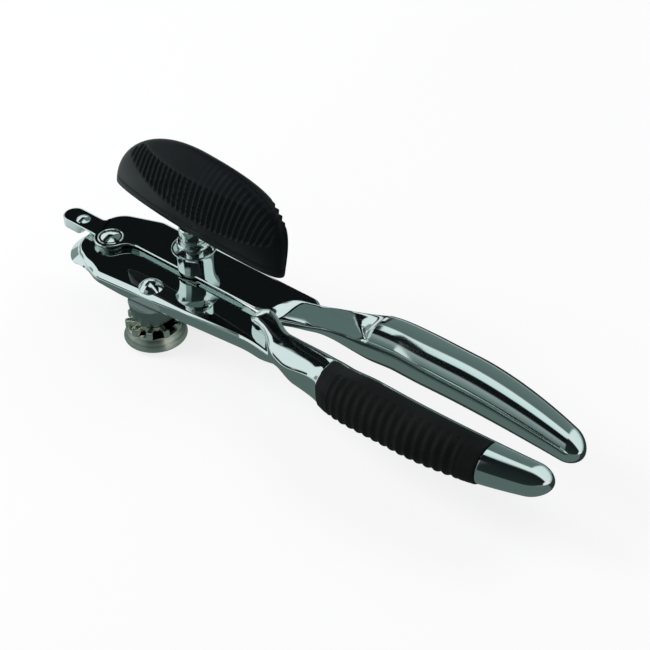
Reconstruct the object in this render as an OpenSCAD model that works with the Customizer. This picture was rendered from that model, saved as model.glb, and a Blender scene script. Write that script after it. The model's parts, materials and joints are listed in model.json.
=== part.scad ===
// Nutcracker-type manual can opener with a bottle-opener ear.
// The knob's axle stands on the origin and the lowest face lies on z = 0.
// +X runs towards the handle tips, +Y towards the upper arm, +Z up the axle.

/* [Plates] */
// Thickness of each pressed plate
plate_t = 1.6; // [1.2:0.1:2.2]
// Thickness of the washer that parts the two plates
pivot_washer_t = 0.5; // [0.4:0.1:0.8]
// Distance from the pivot to the axle along X
pivot_dx = 33.2; // [31:0.2:37]
// How far the pivot lies on the near side of the axle
pivot_dy = 6.1; // [5:0.1:7.5]
// Radius of the upper plate's lobe round the pivot
lobe_r = 5.7; // [5.4:0.1:6.4]
// Distance from the axle to the upper plate's near edge
upper_near = 4.5; // [4.4:0.1:5]
// Distance from the axle to the upper plate's far edge
upper_far = 11.2; // [9:0.2:13]
// Radius of the upper plate's shoulder beside the pivot
shoulder_r = 8; // [7:0.2:9]
// Where the upper plate's full width ends
upper_end = 46; // [45:0.5:49]
// Radius of the lower plate's rounded left end
lower_end_r = 9.7; // [9:0.1:10]
// Radius of the lower plate's near corner
lower_corner_r = 10; // [9:0.2:11]
// Distance from the axle to the lower plate's near edge at that corner
lower_near = 21.5; // [20.5:0.2:23]
// Distance from the pivot to the two plates' left corners along X
corner_dx = 9.2; // [8:0.2:10]
// Height of the flange turned down round the lower plate
flange_h = 4.8; // [3:0.2:5.6]
// How far the flange flares out round the left end
flange_flare = 2.2; // [0:0.1:2.4]
// Thickness of the flange and of the ear's lip
flange_t = 1.2; // [0.8:0.1:1.6]
// Clearance round the axle bush in the lower plate's notch
notch_gap = 1.4; // [1:0.1:2]
// Width of the tang that each plate puts into its handle
tang_w = 4; // [3.2:0.2:4.6]

/* [Bottle opener] */
// Width of the ear
ear_w = 8; // [7:0.2:9]
// Length of the ear from the pivot to the centre of its round end
ear_len = 19; // [17.5:0.5:24]
// Depth of the lip turned down along the ear
lip_h = 3.7; // [2.5:0.1:4.5]
// Clear distance between the lip and the lobe
lip_gap = 7; // [6.4:0.2:7.4]
// Length of the lip
lip_len = 8.5; // [7:0.5:10]
// Radius of the stiffening bump on the ear
bump_r = 2.2; // [1.6:0.1:2.6]
// Height of the stiffening bump
bump_h = 0.6; // [0.4:0.1:0.9]

/* [Pivot] */
// Radius of the pivot rivet's shank
pivot_r = 2.5; // [2.2:0.1:2.8]
// Radius of the rivet's domed head
pivot_head_r = 3.7; // [3.5:0.1:4]
// Height of the rivet's domed head
pivot_head_h = 1.6; // [1.2:0.1:2]
// Radius of the shallow recess round the head
recess_r = 4.4; // [4.3:0.1:4.8]
// Depth of that recess
recess_depth = 0.5; // [0.3:0.1:0.7]

/* [Gears] */
// Number of teeth on each gear
gear_teeth = 10; // [8:2:12]
// Distance between the axle and the cutter stud
gear_distance = 16.3; // [16:0.1:17.5]
// Direction of the cutter stud from the axle, in degrees
gear_direction = -109.8; // [-114:0.2:-106]
// Pressure angle of the teeth, in degrees
gear_pressure = 28; // [27:1:30]
// Height of a tooth above the pitch circle
tooth_addendum = 1.45; // [1.2:0.05:1.5]
// Depth of a tooth below the pitch circle
tooth_dedendum = 1.75; // [1.65:0.05:1.9]
// Play between two meshing teeth
tooth_backlash = 0.3; // [0.2:0.05:0.4]
// Thickness of each gear
gear_t = 3; // [2:0.2:3.6]

/* [Cutter] */
// Radius of the cutter wheel's edge
cutter_r = 10.5; // [9.9:0.1:10.8]
// Radius of the cutter wheel's upper face
cutter_top_r = 8.6; // [8.2:0.1:9]
// Thickness of the cutter wheel's edge
cutter_edge_t = 0.6; // [0.4:0.1:0.8]
// Height of the cutter wheel's cone
cutter_cone_h = 3.9; // [3.5:0.1:4.5]
// Radius of the cutter stud
stud_r = 2.6; // [2.2:0.1:3]
// Radius of the stud's domed head on the lower plate
stud_head_r = 4.1; // [3.8:0.1:4.6]
// Height of that domed head
stud_head_h = 2.2; // [1.6:0.1:2.6]
// Radius of the stud's riveted foot
stud_foot_r = 3.8; // [3.4:0.1:4.4]
// Thickness of that foot
stud_foot_h = 1.4; // [1:0.1:1.8]
// Radius of the boss where it meets the plate
boss_top_r = 8.4; // [7.8:0.1:8.8]
// Radius of the boss at its lower end
boss_low_r = 7.3; // [6.8:0.1:7.6]
// Height of the boss
boss_h = 8.6; // [8:0.2:10]
// Radius of the washer between boss and gear
spacer_r = 6.4; // [6:0.1:6.6]
// Thickness of that washer
spacer_t = 1.6; // [1:0.1:2]

/* [Drive] */
// Radius of the serrated feed wheel
feed_r = 6.1; // [5.4:0.1:6.2]
// Number of serrations on it
feed_teeth = 26; // [20:1:32]
// Depth of a serration
feed_tooth = 0.7; // [0.4:0.1:0.9]
// Thickness of the feed wheel
feed_t = 2.8; // [2:0.1:2.8]
// Thickness of the nut under the feed wheel
nut_t = 2.4; // [1.6:0.1:2.6]
// Nut size across its flats
nut_flats = 7; // [6.4:0.2:8]
// Radius of the axle's threaded foot
thread_r = 2.2; // [1.8:0.1:2.4]
// Radius of the axle in its bush
axle_r = 2.9; // [2.8:0.1:3.2]
// Width across the axle's two flats
axle_flats = 4.6; // [4:0.1:5]
// Wall of the bush
bush_wall = 1.25; // [1:0.05:1.5]
// Radius of the bush's flared cup at its rim
cup_rim_r = 7.4; // [6.6:0.1:8]
// Radius of the cup where it stands on the plate
cup_foot_r = 4.9; // [4.7:0.1:5.4]
// Height of the cup
cup_h = 7.6; // [6:0.2:9]
// Wall of the cup at its rim
cup_wall = 1; // [0.8:0.1:1.4]
// Radius of the wave washer under the axle's collar
wave_washer_r = 4.4; // [4.2:0.1:4.6]
// Thickness of the wave washer
wave_washer_t = 0.8; // [0.6:0.1:1.2]
// Radius of the axle's collar
collar_r = 5.4; // [5:0.1:6]
// Thickness of the axle's collar
collar_t = 1.2; // [0.9:0.1:1.6]
// Radius of the ferrule between collar and knob
ferrule_r = 4.6; // [4:0.1:5]
// Radius in the ferrule's groove
groove_r = 4; // [3.6:0.1:4.2]
// Width of that groove
groove_w = 0.7; // [0.4:0.1:1]
// Height from the collar to the knob
ferrule_h = 5.8; // [4:0.2:6.4]

/* [Knob] */
// Half the knob's length at its base
knob_half_len = 39; // [37:0.2:41]
// Half the knob's thickness in the middle
knob_half_w = 6.6; // [6.2:0.1:7.4]
// Half the knob's thickness at its blunt ends
knob_end_w = 4.2; // [3.6:0.1:5]
// Share of that thickness that is left at the knob's base
knob_base_share = 0.6; // [0.56:0.02:0.8]
// How far the knob's middle lies past the axle
knob_shift = 2.2; // [0:0.1:3]
// Angle by which the knob's crown leans towards the handle tips, in degrees
knob_lean = 8; // [0:1:14]
// Height of the knob
knob_h = 31; // [28:0.2:32]
// Height of the plain band under the ribbed cover
knob_band_h = 4; // [3:0.2:6]
// Thickness of the ribbed cover
knob_cover_t = 1.8; // [1.4:0.1:2.2]
// Angle at which the knob is stored, in degrees
knob_angle = -4; // [-20:1:20]
// Side of the axle's square shank inside the knob
shank_side = 5; // [4.4:0.1:5.4]
// Height of that shank
shank_h = 17; // [12:0.5:18]
// Radius of the cross pin through the shank
knob_pin_r = 0.9; // [0.7:0.05:1.1]
// Height of the cross pin above the knob's base
knob_pin_z = 8; // [6.5:0.2:9]

/* [Handles] */
// Distance from the axle to the handle tips
tip_x = 146.5; // [140:0.5:152]
// Offset of the handles' centre line on the near side of the axle
pair_y = 5; // [4.5:0.1:5.5]
// Where the lower handle's nose starts
lower_nose_x = 32; // [31:0.2:33]
// Offset of the lower nose from the centre line
lower_nose_off = 3; // [3:0.1:3.8]
// Where the upper handle's nose starts
upper_nose_x = 34.5; // [34:0.2:36]
// Offset of the upper nose from the centre line
upper_nose_off = 6.2; // [6.2:0.1:6.8]
// Half the width of each nose
nose_half_w = 4.2; // [3.6:0.1:4.3]
// Position of the neck
neck_x = 50; // [49:0.2:52]
// Offset of the neck from the centre line
neck_off = 8.4; // [8.2:0.1:8.8]
// Half the width of the neck
neck_half_w = 3.6; // [3.4:0.1:4]
// Half the height of nose and neck
neck_half_h = 4.9; // [4.6:0.1:5.6]
// How far the nose and neck hang below the upper plate's top face
neck_drop = 1.2; // [1:0.1:2]
// Where the belly starts
belly_start = 80; // [76:1:84]
// Where the belly ends
belly_end = 102; // [94:1:106]
// Offset of the belly from the centre line
belly_off = 13; // [12.4:0.1:14]
// Half the width of the belly
belly_half_w = 8; // [7:0.1:8.6]
// Half the height of the belly
belly_half_h = 7.5; // [6.8:0.1:8.2]
// Offset of the tips from the centre line
tip_off = 7; // [6.4:0.1:8]
// How much further out the upper handle stands than the lower one
upper_spread = 1.5; // [0:0.1:2.4]
// Half the width at the tips
tip_half_w = 4.6; // [3.6:0.1:5]
// Half the height at the tips
tip_half_h = 4.4; // [3.8:0.1:5]
// Length of the rounding at the nose
nose_round = 4; // [3:0.2:5]
// Length of the rounding at the tips
tip_round = 6; // [4:0.5:8]
// Length of tang inside each handle, past the neck
tang_len = 11; // [9:0.5:12]
// Radius of the two pins that hold each tang
tang_pin_r = 0.8; // [0.6:0.05:0.9]

/* [Grip] */
// Where the rubber grip starts
grip_start = 69; // [66:0.5:72]
// Length of the grip
grip_len = 58; // [54:0.5:60]
// Depth to which the grip is let into the handle
grip_depth = 1.2; // [0.8:0.1:1.6]
// How far the grip stands out of the handle
grip_proud = 0.4; // [0.2:0.05:0.6]
// Number of ribs on the grip
grip_ribs = 16; // [12:1:20]
// Depth of the valleys between the ribs
rib_depth = 0.45; // [0.2:0.05:0.6]
// Half the angle of the bare strip along the inner side, in degrees
grip_bare = 42; // [30:1:50]

/* [Clearances] */
// Play between faces that turn on each other
axial_gap = 0.1; // [0.05:0.05:0.2]
// Radial play of a running fit
run_gap = 0.05; // [0.02:0.01:0.08]
// Play between pieces that are fixed together
fixed_gap = 0.05; // [0.02:0.01:0.1]

/* [Hidden] */
$fn = 64;

// Heights along the cutter stud, from the floor up
cutter_z = stud_foot_h + axial_gap;
cutter_gear_z = cutter_z + cutter_edge_t + cutter_cone_h;
gear_top = cutter_gear_z + gear_t;
spacer_z = gear_top + axial_gap;
boss_z = spacer_z + spacer_t;
lower_z = boss_z + boss_h;
lower_top = lower_z + plate_t;
upper_z = lower_top + pivot_washer_t;
upper_top = upper_z + plate_t;

// Heights along the drive axle
feed_z = cutter_gear_z - feed_t;
nut_z = feed_z - nut_t;
axle_end_z = nut_z - 0.3;
drive_washer_z = gear_top + axial_gap;
drive_washer_t = 1.2;
bush_z = drive_washer_z + drive_washer_t;
bush_r = axle_r + run_gap + bush_wall;
cup_z = upper_top;
cup_top = cup_z + cup_h;
wave_z = cup_top + 0.6;
collar_z = wave_z + wave_washer_t + axial_gap;
ferrule_z = collar_z + collar_t;
knob_z = ferrule_z + ferrule_h;

// Where the flange starts, on the near side of the left end's centre
flange_start = 1.4;

// Places in plan
pivot = [-pivot_dx, -pivot_dy];
stud = gear_distance * [cos(gear_direction), sin(gear_direction)];
ear_tip = pivot + [-ear_len, ear_w / 2 - 2.4];
lower_end = pivot + [-0.3, -1.9];
lower_corner = [pivot[0] + corner_dx, -lower_near + lower_corner_r];
lower_right = [lower_nose_x + 2, -pair_y - 5];
lower_right_r = 6.1;
neck_y = pair_y + neck_off;
lower_throat = [neck_x - 3, -neck_y + 0.2];
lower_throat_r = 2.7;

pitch_r = gear_distance / 2;
gear_phase = gear_direction;

// ---------------------------------------------------------------- helpers

// Convex hull of two circles, with true arcs and straight sides that start a hair inside them
hair = 0.003;
module capsule(a, ra, b, rb) {
    d = b - a;
    along = atan2(d[1], d[0]);
    lean = acos((ra - rb) / norm(d));
    function on(c, r, t) = c + (r - hair) * [cos(t), sin(t)];
    translate(a) circle(ra);
    translate(b) circle(rb);
    polygon([on(a, ra, along + lean), on(b, rb, along + lean), b,
             on(b, rb, along - lean), on(a, ra, along - lean), a]);
}

// Smooth step from 0 to 1
function ease(t) = let (c = min(1, max(0, t))) c * c * (3 - 2 * c);

// Value at x of a curve that eases from one station [x, value] to the next
function along_stations(s, x, i = 0) =
    i >= len(s) - 2 || x <= s[i + 1][0]
        ? s[i][1] + (s[i + 1][1] - s[i][1]) * ease((x - s[i][0]) / (s[i + 1][0] - s[i][0]))
        : along_stations(s, x, i + 1);

// Closed surface through a stack of rings that all have the same number of points
module skin(rings) {
    n = len(rings[0]);
    m = len(rings);
    polyhedron(
        points = [for (r = rings) each r],
        faces = concat(
            [[for (j = [0 : n - 1]) j]],
            [for (i = [0 : m - 2], j = [0 : n - 1])
                let (k = (j + 1) % n) each [
                    [i * n + j, (i + 1) * n + j, (i + 1) * n + k],
                    [i * n + j, (i + 1) * n + k, i * n + k]]],
            [[for (j = [n - 1 : -1 : 0]) (m - 1) * n + j]]),
        convexity = 8);
}

// Power of a cosine or sine that keeps its sign
function squash(v, p) = sign(v) * pow(abs(v), p);

// Involute of a circle of radius rb, where it reaches radius r, in degrees
function involute_angle(rb, r) = let (a = acos(min(1, rb / r))) tan(a) * 180 / PI - a;

// One gear blank in plan, with its first tooth along +X turned by phase
module gear_outline(phase) {
    base_r = pitch_r * cos(gear_pressure);
    tip_r = pitch_r + tooth_addendum;
    root_r = pitch_r - tooth_dedendum;
    pitch_width = 360 / gear_teeth / 2 - tooth_backlash / 2 / pitch_r * 180 / PI;
    half_base = pitch_width / 2 + involute_angle(base_r, pitch_r);
    start_r = max(base_r, root_r);
    steps = 5;
    flank = [for (i = [0 : steps]) let (r = start_r + (tip_r - start_r) * i / steps)
        [r, half_base - involute_angle(base_r, r)]];
    function at(r, a) = r * [cos(a), sin(a)];
    polygon([for (k = [0 : gear_teeth - 1])
        let (mid = phase + k * 360 / gear_teeth, half_pitch = 180 / gear_teeth) each concat(
            [at(root_r, mid - half_pitch), at(root_r, mid - half_base)],
            [for (i = [0 : steps]) at(flank[i][0], mid - flank[i][1])],
            [for (i = [steps : -1 : 0]) at(flank[i][0], mid + flank[i][1])],
            [at(root_r, mid + half_base)])]);
}

// Round bar with two flats, in plan
module flatted(grow) {
    intersection() {
        circle(axle_r + grow);
        square([2 * (axle_r + 1), axle_flats + 2 * grow], center = true);
    }
}

// Domed head standing on z = 0
module dome(r, h) {
    ball_r = (r * r + h * h) / (2 * h);
    rotate_extrude() intersection() {
        translate([0, h - ball_r]) circle(ball_r);
        square([r + 1, h]);
    }
}

// ---------------------------------------------------------------- lower arm

// Outline of the lower plate, drawn in by inset
module lower_outline(inset) {
    capsule(lower_end, lower_end_r - inset, lower_corner, lower_corner_r - inset);
    capsule(lower_corner, lower_corner_r - inset, lower_right, lower_right_r - inset);
    capsule(lower_end, lower_end_r - inset, lower_right, lower_right_r - inset);
    polygon([lower_end, lower_corner, lower_right]);
    capsule(lower_right, lower_right_r - inset, lower_throat, lower_throat_r - inset);
}

// The flange follows the rounded left end and the near edge only
module flange_zone() {
    start = lower_end[1] - flange_start;
    inner = lower_corner[1] - flange_start;
    right = lower_throat[0] - lower_throat_r / 3;
    reach = 2 * lower_near;
    polygon([[-reach - pivot_dx, start], [lower_end[0] - 0.4 * lower_end_r, start],
             [lower_corner[0] - 0.8 * lower_corner_r, inner], [right, inner],
             [right, -reach], [-reach - pivot_dx, -reach]]);
}

// Two pin places along a tang that starts at the neck, on side +1 or -1
function tang_y(side, x) = -pair_y + side * (handle_offset(x, 0) + spread(side, x));
function tang_end(side) = [neck_x + tang_len, tang_y(side, neck_x + tang_len)];
function tang_pin(side, i) =
    let (x = neck_x + tang_w / 2 + i * (tang_len - tang_w)) [x, tang_y(side, x)];

// Everything of the lower plate, grown by clear
module lower_plate_solid(clear) {
    translate([0, 0, lower_z - clear]) linear_extrude(plate_t + 2 * clear) {
        lower_outline(-clear);
        capsule(lower_throat, tang_w / 2 + clear, tang_end(-1), tang_w / 2 + clear);
    }
    translate([0, 0, lower_top - flange_h - clear]) linear_extrude(flange_h + clear)
        difference() {
            intersection() {
                difference() {
                    lower_outline(-clear);
                    lower_outline(flange_t + clear);
                }
                flange_zone();
            }
            flare_zone();
        }
    translate([0, 0, lower_top - flange_h]) intersection() {
        translate([lower_end[0], lower_end[1], 0]) difference() {
            cylinder(h = flange_h, r1 = lower_end_r + flange_flare, r2 = lower_end_r);
            translate([0, 0, -0.01]) cylinder(h = flange_h - plate_t + 0.02,
                r1 = lower_end_r + flange_flare - flange_t, r2 = lower_end_r - flange_t);
        }
        linear_extrude(flange_h) flare_zone();
    }
}

// Sector of the left end where the flange flares
module flare_zone() {
    reach = 2 * lower_end_r;
    polygon([lower_end, lower_end + [-reach, -flange_start], lower_end + [-reach, -reach],
             lower_end + [-0.4 * reach, -reach]]);
}

module lower_plate() {
    color([0.62, 0.66, 0.66]) difference() {
        lower_plate_solid(0);
        translate([0, 0, lower_z - 1]) linear_extrude(plate_t + 2) {
            circle(bush_r + notch_gap);
            translate([-bush_r - notch_gap, 0]) square([2 * (bush_r + notch_gap), 2 * upper_far]);
        }
        translate([pivot[0], pivot[1], lower_z - 1]) cylinder(h = plate_t + 2, r = pivot_r + fixed_gap);
        translate([stud[0], stud[1], lower_z - 1]) cylinder(h = plate_t + 2, r = stud_r + fixed_gap);
        tang_pin_holes(-1, lower_z);
    }
}

// Holes for one tang's two pins, through a plate whose lower face is at z
module tang_pin_holes(side, z) {
    for (i = [0, 1]) translate([tang_pin(side, i)[0], tang_pin(side, i)[1], z - 1])
        cylinder(h = plate_t + 2, r = tang_pin_r + fixed_gap);
}

// ---------------------------------------------------------------- handles

// Offset of a handle's middle from the pair's centre line
function handle_offset(x, nose_off) = along_stations([
    [lower_nose_x + nose_round, nose_off], [neck_x, neck_off], [belly_start, belly_off],
    [belly_end, belly_off], [tip_x, tip_off]], x);
function spread(side, x) = side > 0 ? upper_spread * ease((x - neck_x) / (belly_start - neck_x)) : 0;
function handle_half_w(x) = along_stations([
    [lower_nose_x + nose_round, nose_half_w], [neck_x, neck_half_w], [belly_start, belly_half_w],
    [belly_end, belly_half_w], [tip_x, tip_half_w]], x);
function handle_half_h(x) = along_stations([
    [neck_x, neck_half_h], [belly_start, belly_half_h], [belly_end, belly_half_h],
    [tip_x, tip_half_h]], x);
function handle_mid_z(x) = upper_top - neck_drop * (1 - ease((x - neck_x) / (belly_start - neck_x)));

// Elliptical rounding of a handle's two ends
function end_scale(x, start) =
    let (nose = min(1, max(0, (x - start) / nose_round)), tip = min(1, max(0, (tip_x - x) / tip_round)))
    max(0.08, sqrt(1 - pow(1 - nose, 2)) * sqrt(1 - pow(1 - tip, 2)));

// Room for the upper plate beside the lower handle's nose
swing_gap = 0.2;
nose_len = 12;

section_steps = 28;
section_power = 0.78;

// Point of a handle's section at x; angle 0 faces the other handle
function handle_point(side, start, nose_off, x, angle, inset) =
    let (k = end_scale(x, start))
    [x,
     -pair_y + side * (handle_offset(x, nose_off) + spread(side, x)
        - (handle_half_w(x) * k - inset) * squash(cos(angle), section_power)),
     handle_mid_z(x) + (handle_half_h(x) * k - inset) * squash(sin(angle), section_power)];

// True where the grip covers the handle
function covered(angle) = angle > grip_bare && angle < 360 - grip_bare;

// Stations of a handle; gripped adds the two steps at the grip's ends
grip_end = grip_start + grip_len;
step_len = 0.2;
function stations(start, gripped) = concat(
    [for (a = [0 : 18 : 72]) start + nose_round * (1 - cos(a))],
    [for (i = [0 : 5]) let (first = start + nose_round) first + (grip_start - 1 - first) * i / 5],
    gripped ? [grip_start - step_len, grip_start] : [grip_start],
    [for (i = [1 : 7]) grip_start + grip_len * i / 8],
    gripped ? [grip_end, grip_end + step_len] : [grip_end],
    [for (i = [1 : 3]) grip_end + (tip_x - tip_round - grip_end) * i / 3],
    [for (a = [72 : -18 : 0]) tip_x - tip_round * (1 - cos(a))]);

// Bare body of a handle; side -1 is the lower arm's and +1 the upper arm's
module handle_body(side, start, nose_off, gripped) {
    rings = [for (x = stations(start, gripped))
        let (inside = gripped && x > grip_start - step_len / 2 && x < grip_end + step_len / 2)
        [for (i = [0 : section_steps - 1])
            let (angle = i * 360 / section_steps)
            handle_point(side, start, nose_off, x, side * angle,
                inside && covered(angle) ? grip_depth + fixed_gap : 0)]];
    skin(rings);
}

// Two headless pins of one tang
tang_pin_reach = 1.6;
module tang_pins(side, z, clear = 0) {
    for (i = [0, 1])
        translate([tang_pin(side, i)[0], tang_pin(side, i)[1], z - tang_pin_reach - clear])
            cylinder(h = plate_t + 2 * (tang_pin_reach + clear), r = tang_pin_r + clear);
}

module lower_handle() {
    color([0.72, 0.76, 0.76]) difference() {
        handle_body(-1, lower_nose_x, lower_nose_off, true);
        lower_plate_solid(fixed_gap);
        tang_pins(-1, lower_z, fixed_gap);
        // the upper plate swings in over the lower plate
        translate([lower_nose_x - 1, swing_gap - upper_near, 0])
            cube([nose_len, nose_len, upper_top + swing_gap]);
    }
}

module lower_tang_pins() {
    color([0.55, 0.57, 0.58]) tang_pins(-1, lower_z);
}

// Rubber sleeve, open along the side that faces the other handle
module handle_grip() {
    first = grip_start + fixed_gap;
    last = grip_end - fixed_gap;
    margin = 4;
    crests = [for (i = [0 : 2 * grip_ribs]) first + margin + (last - first - 2 * margin) * i / (2 * grip_ribs)];
    xs = concat([first, first + margin / 2], crests, [last - margin / 2, last]);
    open = grip_bare + 2;
    steps = 16;
    function turn(j) = open + (360 - 2 * open) * j / steps;
    rings = [for (k = [0 : len(xs) - 1])
        let (valley = k > 1 && k < len(xs) - 2 && k % 2 == 1, x = xs[k])
        concat(
            [for (j = [0 : steps]) handle_point(-1, lower_nose_x, lower_nose_off, x, -turn(j),
                -grip_proud + (valley ? rib_depth : 0))],
            [for (j = [steps : -1 : 0]) handle_point(-1, lower_nose_x, lower_nose_off, x, -turn(j),
                grip_depth)])];
    color([0.12, 0.13, 0.13]) skin(rings);
}

// ---------------------------------------------------------------- pivot and cutter

module pivot_rivet() {
    foot_h = 1.2;
    seat = upper_top - recess_depth + axial_gap;
    color([0.7, 0.73, 0.73]) translate([pivot[0], pivot[1], 0]) {
        translate([0, 0, seat]) dome(pivot_head_r, pivot_head_h);
        translate([0, 0, lower_z - foot_h]) cylinder(h = foot_h, r = pivot_head_r);
        translate([0, 0, lower_z - 0.1]) cylinder(h = seat - lower_z + 0.2, r = pivot_r);
    }
}

module pivot_washer() {
    color([0.78, 0.75, 0.6]) translate([pivot[0], pivot[1], lower_top]) difference() {
        cylinder(h = pivot_washer_t - axial_gap, r = lobe_r - 0.5);
        translate([0, 0, -1]) cylinder(h = pivot_washer_t + 2, r = pivot_r + fixed_gap);
    }
}

// Conical boss; from the flange's lower edge up it stays inside the flange
module cutter_boss() {
    color([0.5, 0.55, 0.54]) difference() {
        translate([stud[0], stud[1], boss_z]) difference() {
            cylinder(h = boss_h, r1 = boss_low_r, r2 = boss_top_r);
            translate([0, 0, -1]) cylinder(h = boss_h + 2, r = stud_r + fixed_gap);
        }
        translate([0, 0, lower_top - flange_h - fixed_gap]) linear_extrude(flange_h + 1) difference() {
            translate(stud) circle(2 * boss_top_r);
            lower_outline(flange_t + fixed_gap);
        }
    }
}

module cutter_spacer() {
    color([0.6, 0.62, 0.6]) translate([stud[0], stud[1], spacer_z]) difference() {
        cylinder(h = spacer_t, r = spacer_r);
        translate([0, 0, -1]) cylinder(h = spacer_t + 2, r = stud_r + fixed_gap);
    }
}

module cutter_stud() {
    color([0.75, 0.78, 0.78]) translate([stud[0], stud[1], 0]) {
        cylinder(h = stud_foot_h, r = stud_foot_r);
        translate([0, 0, stud_foot_h / 2]) cylinder(h = lower_top - stud_foot_h / 2 + 0.2, r = stud_r);
        translate([0, 0, lower_top]) dome(stud_head_r, stud_head_h);
    }
}

module cutter_gear() {
    color([0.66, 0.68, 0.64]) translate([stud[0], stud[1], cutter_gear_z]) difference() {
        linear_extrude(gear_t) gear_outline(gear_phase + 180 + 180 / gear_teeth);
        translate([0, 0, -1]) cylinder(h = gear_t + 2, r = stud_r + run_gap);
    }
}

module cutter_wheel() {
    color([0.7, 0.73, 0.72]) translate([stud[0], stud[1], cutter_z]) difference() {
        union() {
            cylinder(h = cutter_edge_t, r = cutter_r, $fn = 96);
            translate([0, 0, cutter_edge_t])
                cylinder(h = cutter_cone_h, r1 = cutter_r, r2 = cutter_top_r, $fn = 96);
        }
        translate([0, 0, -1]) cylinder(h = cutter_edge_t + cutter_cone_h + 2, r = stud_r + run_gap);
    }
}

// ---------------------------------------------------------------- upper arm

// Band of the ear in plan, drawn in by inset
module ear_outline(inset) {
    capsule(ear_tip, ear_w / 2 - inset, [pivot[0] - 6, ear_tip[1]], ear_w / 2 - inset);
}

module upper_outline() {
    shoulder = [pivot[0] - 0.2, shoulder_r - 8.6];
    shoulder_end_r = upper_far - 5.2;
    inner_end = -pair_y + neck_off - neck_half_w;
    capsule(pivot, lobe_r, [pivot[0] + 6.7, -upper_near + 4], 4);
    capsule(shoulder, shoulder_r, [pivot[0] + corner_dx, upper_far - shoulder_end_r - 0.2],
            shoulder_end_r);
    ear_outline(0);
    polygon([[pivot[0] + 4, -upper_near], [lower_nose_x - 2.5, -upper_near],
             [upper_nose_x + 1, -2.6], [upper_end - 4, inner_end + 1], [upper_end, inner_end + 1.5],
             [upper_end, upper_far - 0.6], [upper_end - 1.5, upper_far + 0.6],
             [pivot[0] + corner_dx, upper_far - 0.3], [pivot[0] + 2, shoulder_r - 2]]);
    capsule(tang_start(), tang_w / 2, tang_end(1), tang_w / 2);
}
function tang_start() =
    let (x = upper_end - 0.75 * tang_w) [x, -pair_y + handle_offset(x, upper_nose_off)];

// Plate of the upper arm with the bottle-opener ear and its lip
module upper_plate() {
    lip_far = pivot[0] - lobe_r - lip_gap;
    color([0.62, 0.66, 0.66]) difference() {
        union() {
            translate([0, 0, upper_z]) linear_extrude(plate_t) upper_outline();
            translate([0, 0, upper_top - lip_h]) linear_extrude(lip_h - plate_t / 2)
                intersection() {
                    difference() {
                        ear_outline(0);
                        ear_outline(flange_t);
                    }
                    translate([lip_far - lip_len, ear_tip[1] - ear_w]) square([lip_len, ear_w - 2]);
                }
            translate([ear_tip[0] + 2.2, ear_tip[1] + 0.4, upper_top - 0.2]) dome(bump_r, bump_h + 0.2);
        }
        translate([pivot[0], pivot[1], upper_z - 1]) cylinder(h = plate_t + 2, r = pivot_r + run_gap);
        translate([pivot[0], pivot[1], upper_top - recess_depth]) cylinder(h = 2, r = recess_r);
        translate([0, 0, upper_z - 1]) cylinder(h = plate_t + 2, r = bush_r + fixed_gap);
        tang_pin_holes(1, upper_z);
    }
}

module upper_handle() {
    color([0.72, 0.76, 0.76]) difference() {
        handle_body(1, upper_nose_x, upper_nose_off, false);
        translate([0, 0, upper_z - fixed_gap]) linear_extrude(plate_t + 2 * fixed_gap) {
            upper_outline();
            capsule(tang_start(), tang_w / 2 + fixed_gap, tang_end(1), tang_w / 2 + fixed_gap);
        }
        tang_pins(1, upper_z, fixed_gap);
    }
}

module upper_tang_pins() {
    color([0.55, 0.57, 0.58]) tang_pins(1, upper_z);
}

// Bush with its flared cup on the plate and a plain tube below it
module axle_bush() {
    bore = axle_r + run_gap;
    color([0.78, 0.82, 0.82]) rotate_extrude() polygon(concat(
        [[bore, bush_z], [bush_r, bush_z], [bush_r, cup_z], [cup_foot_r, cup_z]],
        [for (i = [1 : 8]) let (t = i / 8)
            [cup_foot_r + (cup_rim_r - cup_foot_r) * t * t, cup_z + cup_h * t]],
        [[cup_rim_r - cup_wall, cup_top], [bore + 1.2, cup_top - 2.5], [bore, cup_top - 2.5]]));
}

// Retaining ring pressed on the bush under the plate
module bush_ring() {
    ring_t = 1.2;
    ring_r = bush_r + notch_gap - 0.6;
    color([0.6, 0.62, 0.6]) translate([0, 0, upper_z - ring_t]) difference() {
        cylinder(h = ring_t, r = ring_r);
        translate([0, 0, -1]) cylinder(h = ring_t + 2, r = bush_r + fixed_gap);
    }
}

// ---------------------------------------------------------------- drive

module wave_washer() {
    color([0.68, 0.66, 0.6]) translate([0, 0, wave_z]) difference() {
        cylinder(h = wave_washer_t, r = wave_washer_r);
        translate([0, 0, -1]) cylinder(h = wave_washer_t + 2, r = axle_r + fixed_gap);
    }
}

// Stepped axle: thread, two flats, journal, collar, grooved ferrule and square shank
module drive_axle() {
    groove_z = ferrule_z + 0.6;
    color([0.76, 0.79, 0.79]) {
        translate([0, 0, axle_end_z]) cylinder(h = feed_z - axle_end_z + 0.1, r = thread_r);
        translate([0, 0, feed_z]) linear_extrude(gear_top - feed_z) flatted(0);
        translate([0, 0, gear_top]) cylinder(h = collar_z - gear_top, r = axle_r);
        translate([0, 0, collar_z]) cylinder(h = collar_t, r = collar_r);
        translate([0, 0, ferrule_z]) difference() {
            cylinder(h = ferrule_h, r = ferrule_r);
            translate([0, 0, groove_z - ferrule_z]) difference() {
                cylinder(h = groove_w, r = ferrule_r + 1);
                translate([0, 0, -1]) cylinder(h = groove_w + 2, r = groove_r);
            }
        }
        difference() {
            translate([-shank_side / 2, -shank_side / 2, knob_z - 0.1])
                cube([shank_side, shank_side, shank_h + 0.1]);
            translate([0, 0, knob_z + knob_pin_z]) rotate([90, 0, 0])
                cylinder(h = shank_side + 2, r = knob_pin_r + fixed_gap, center = true);
        }
    }
}

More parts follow.
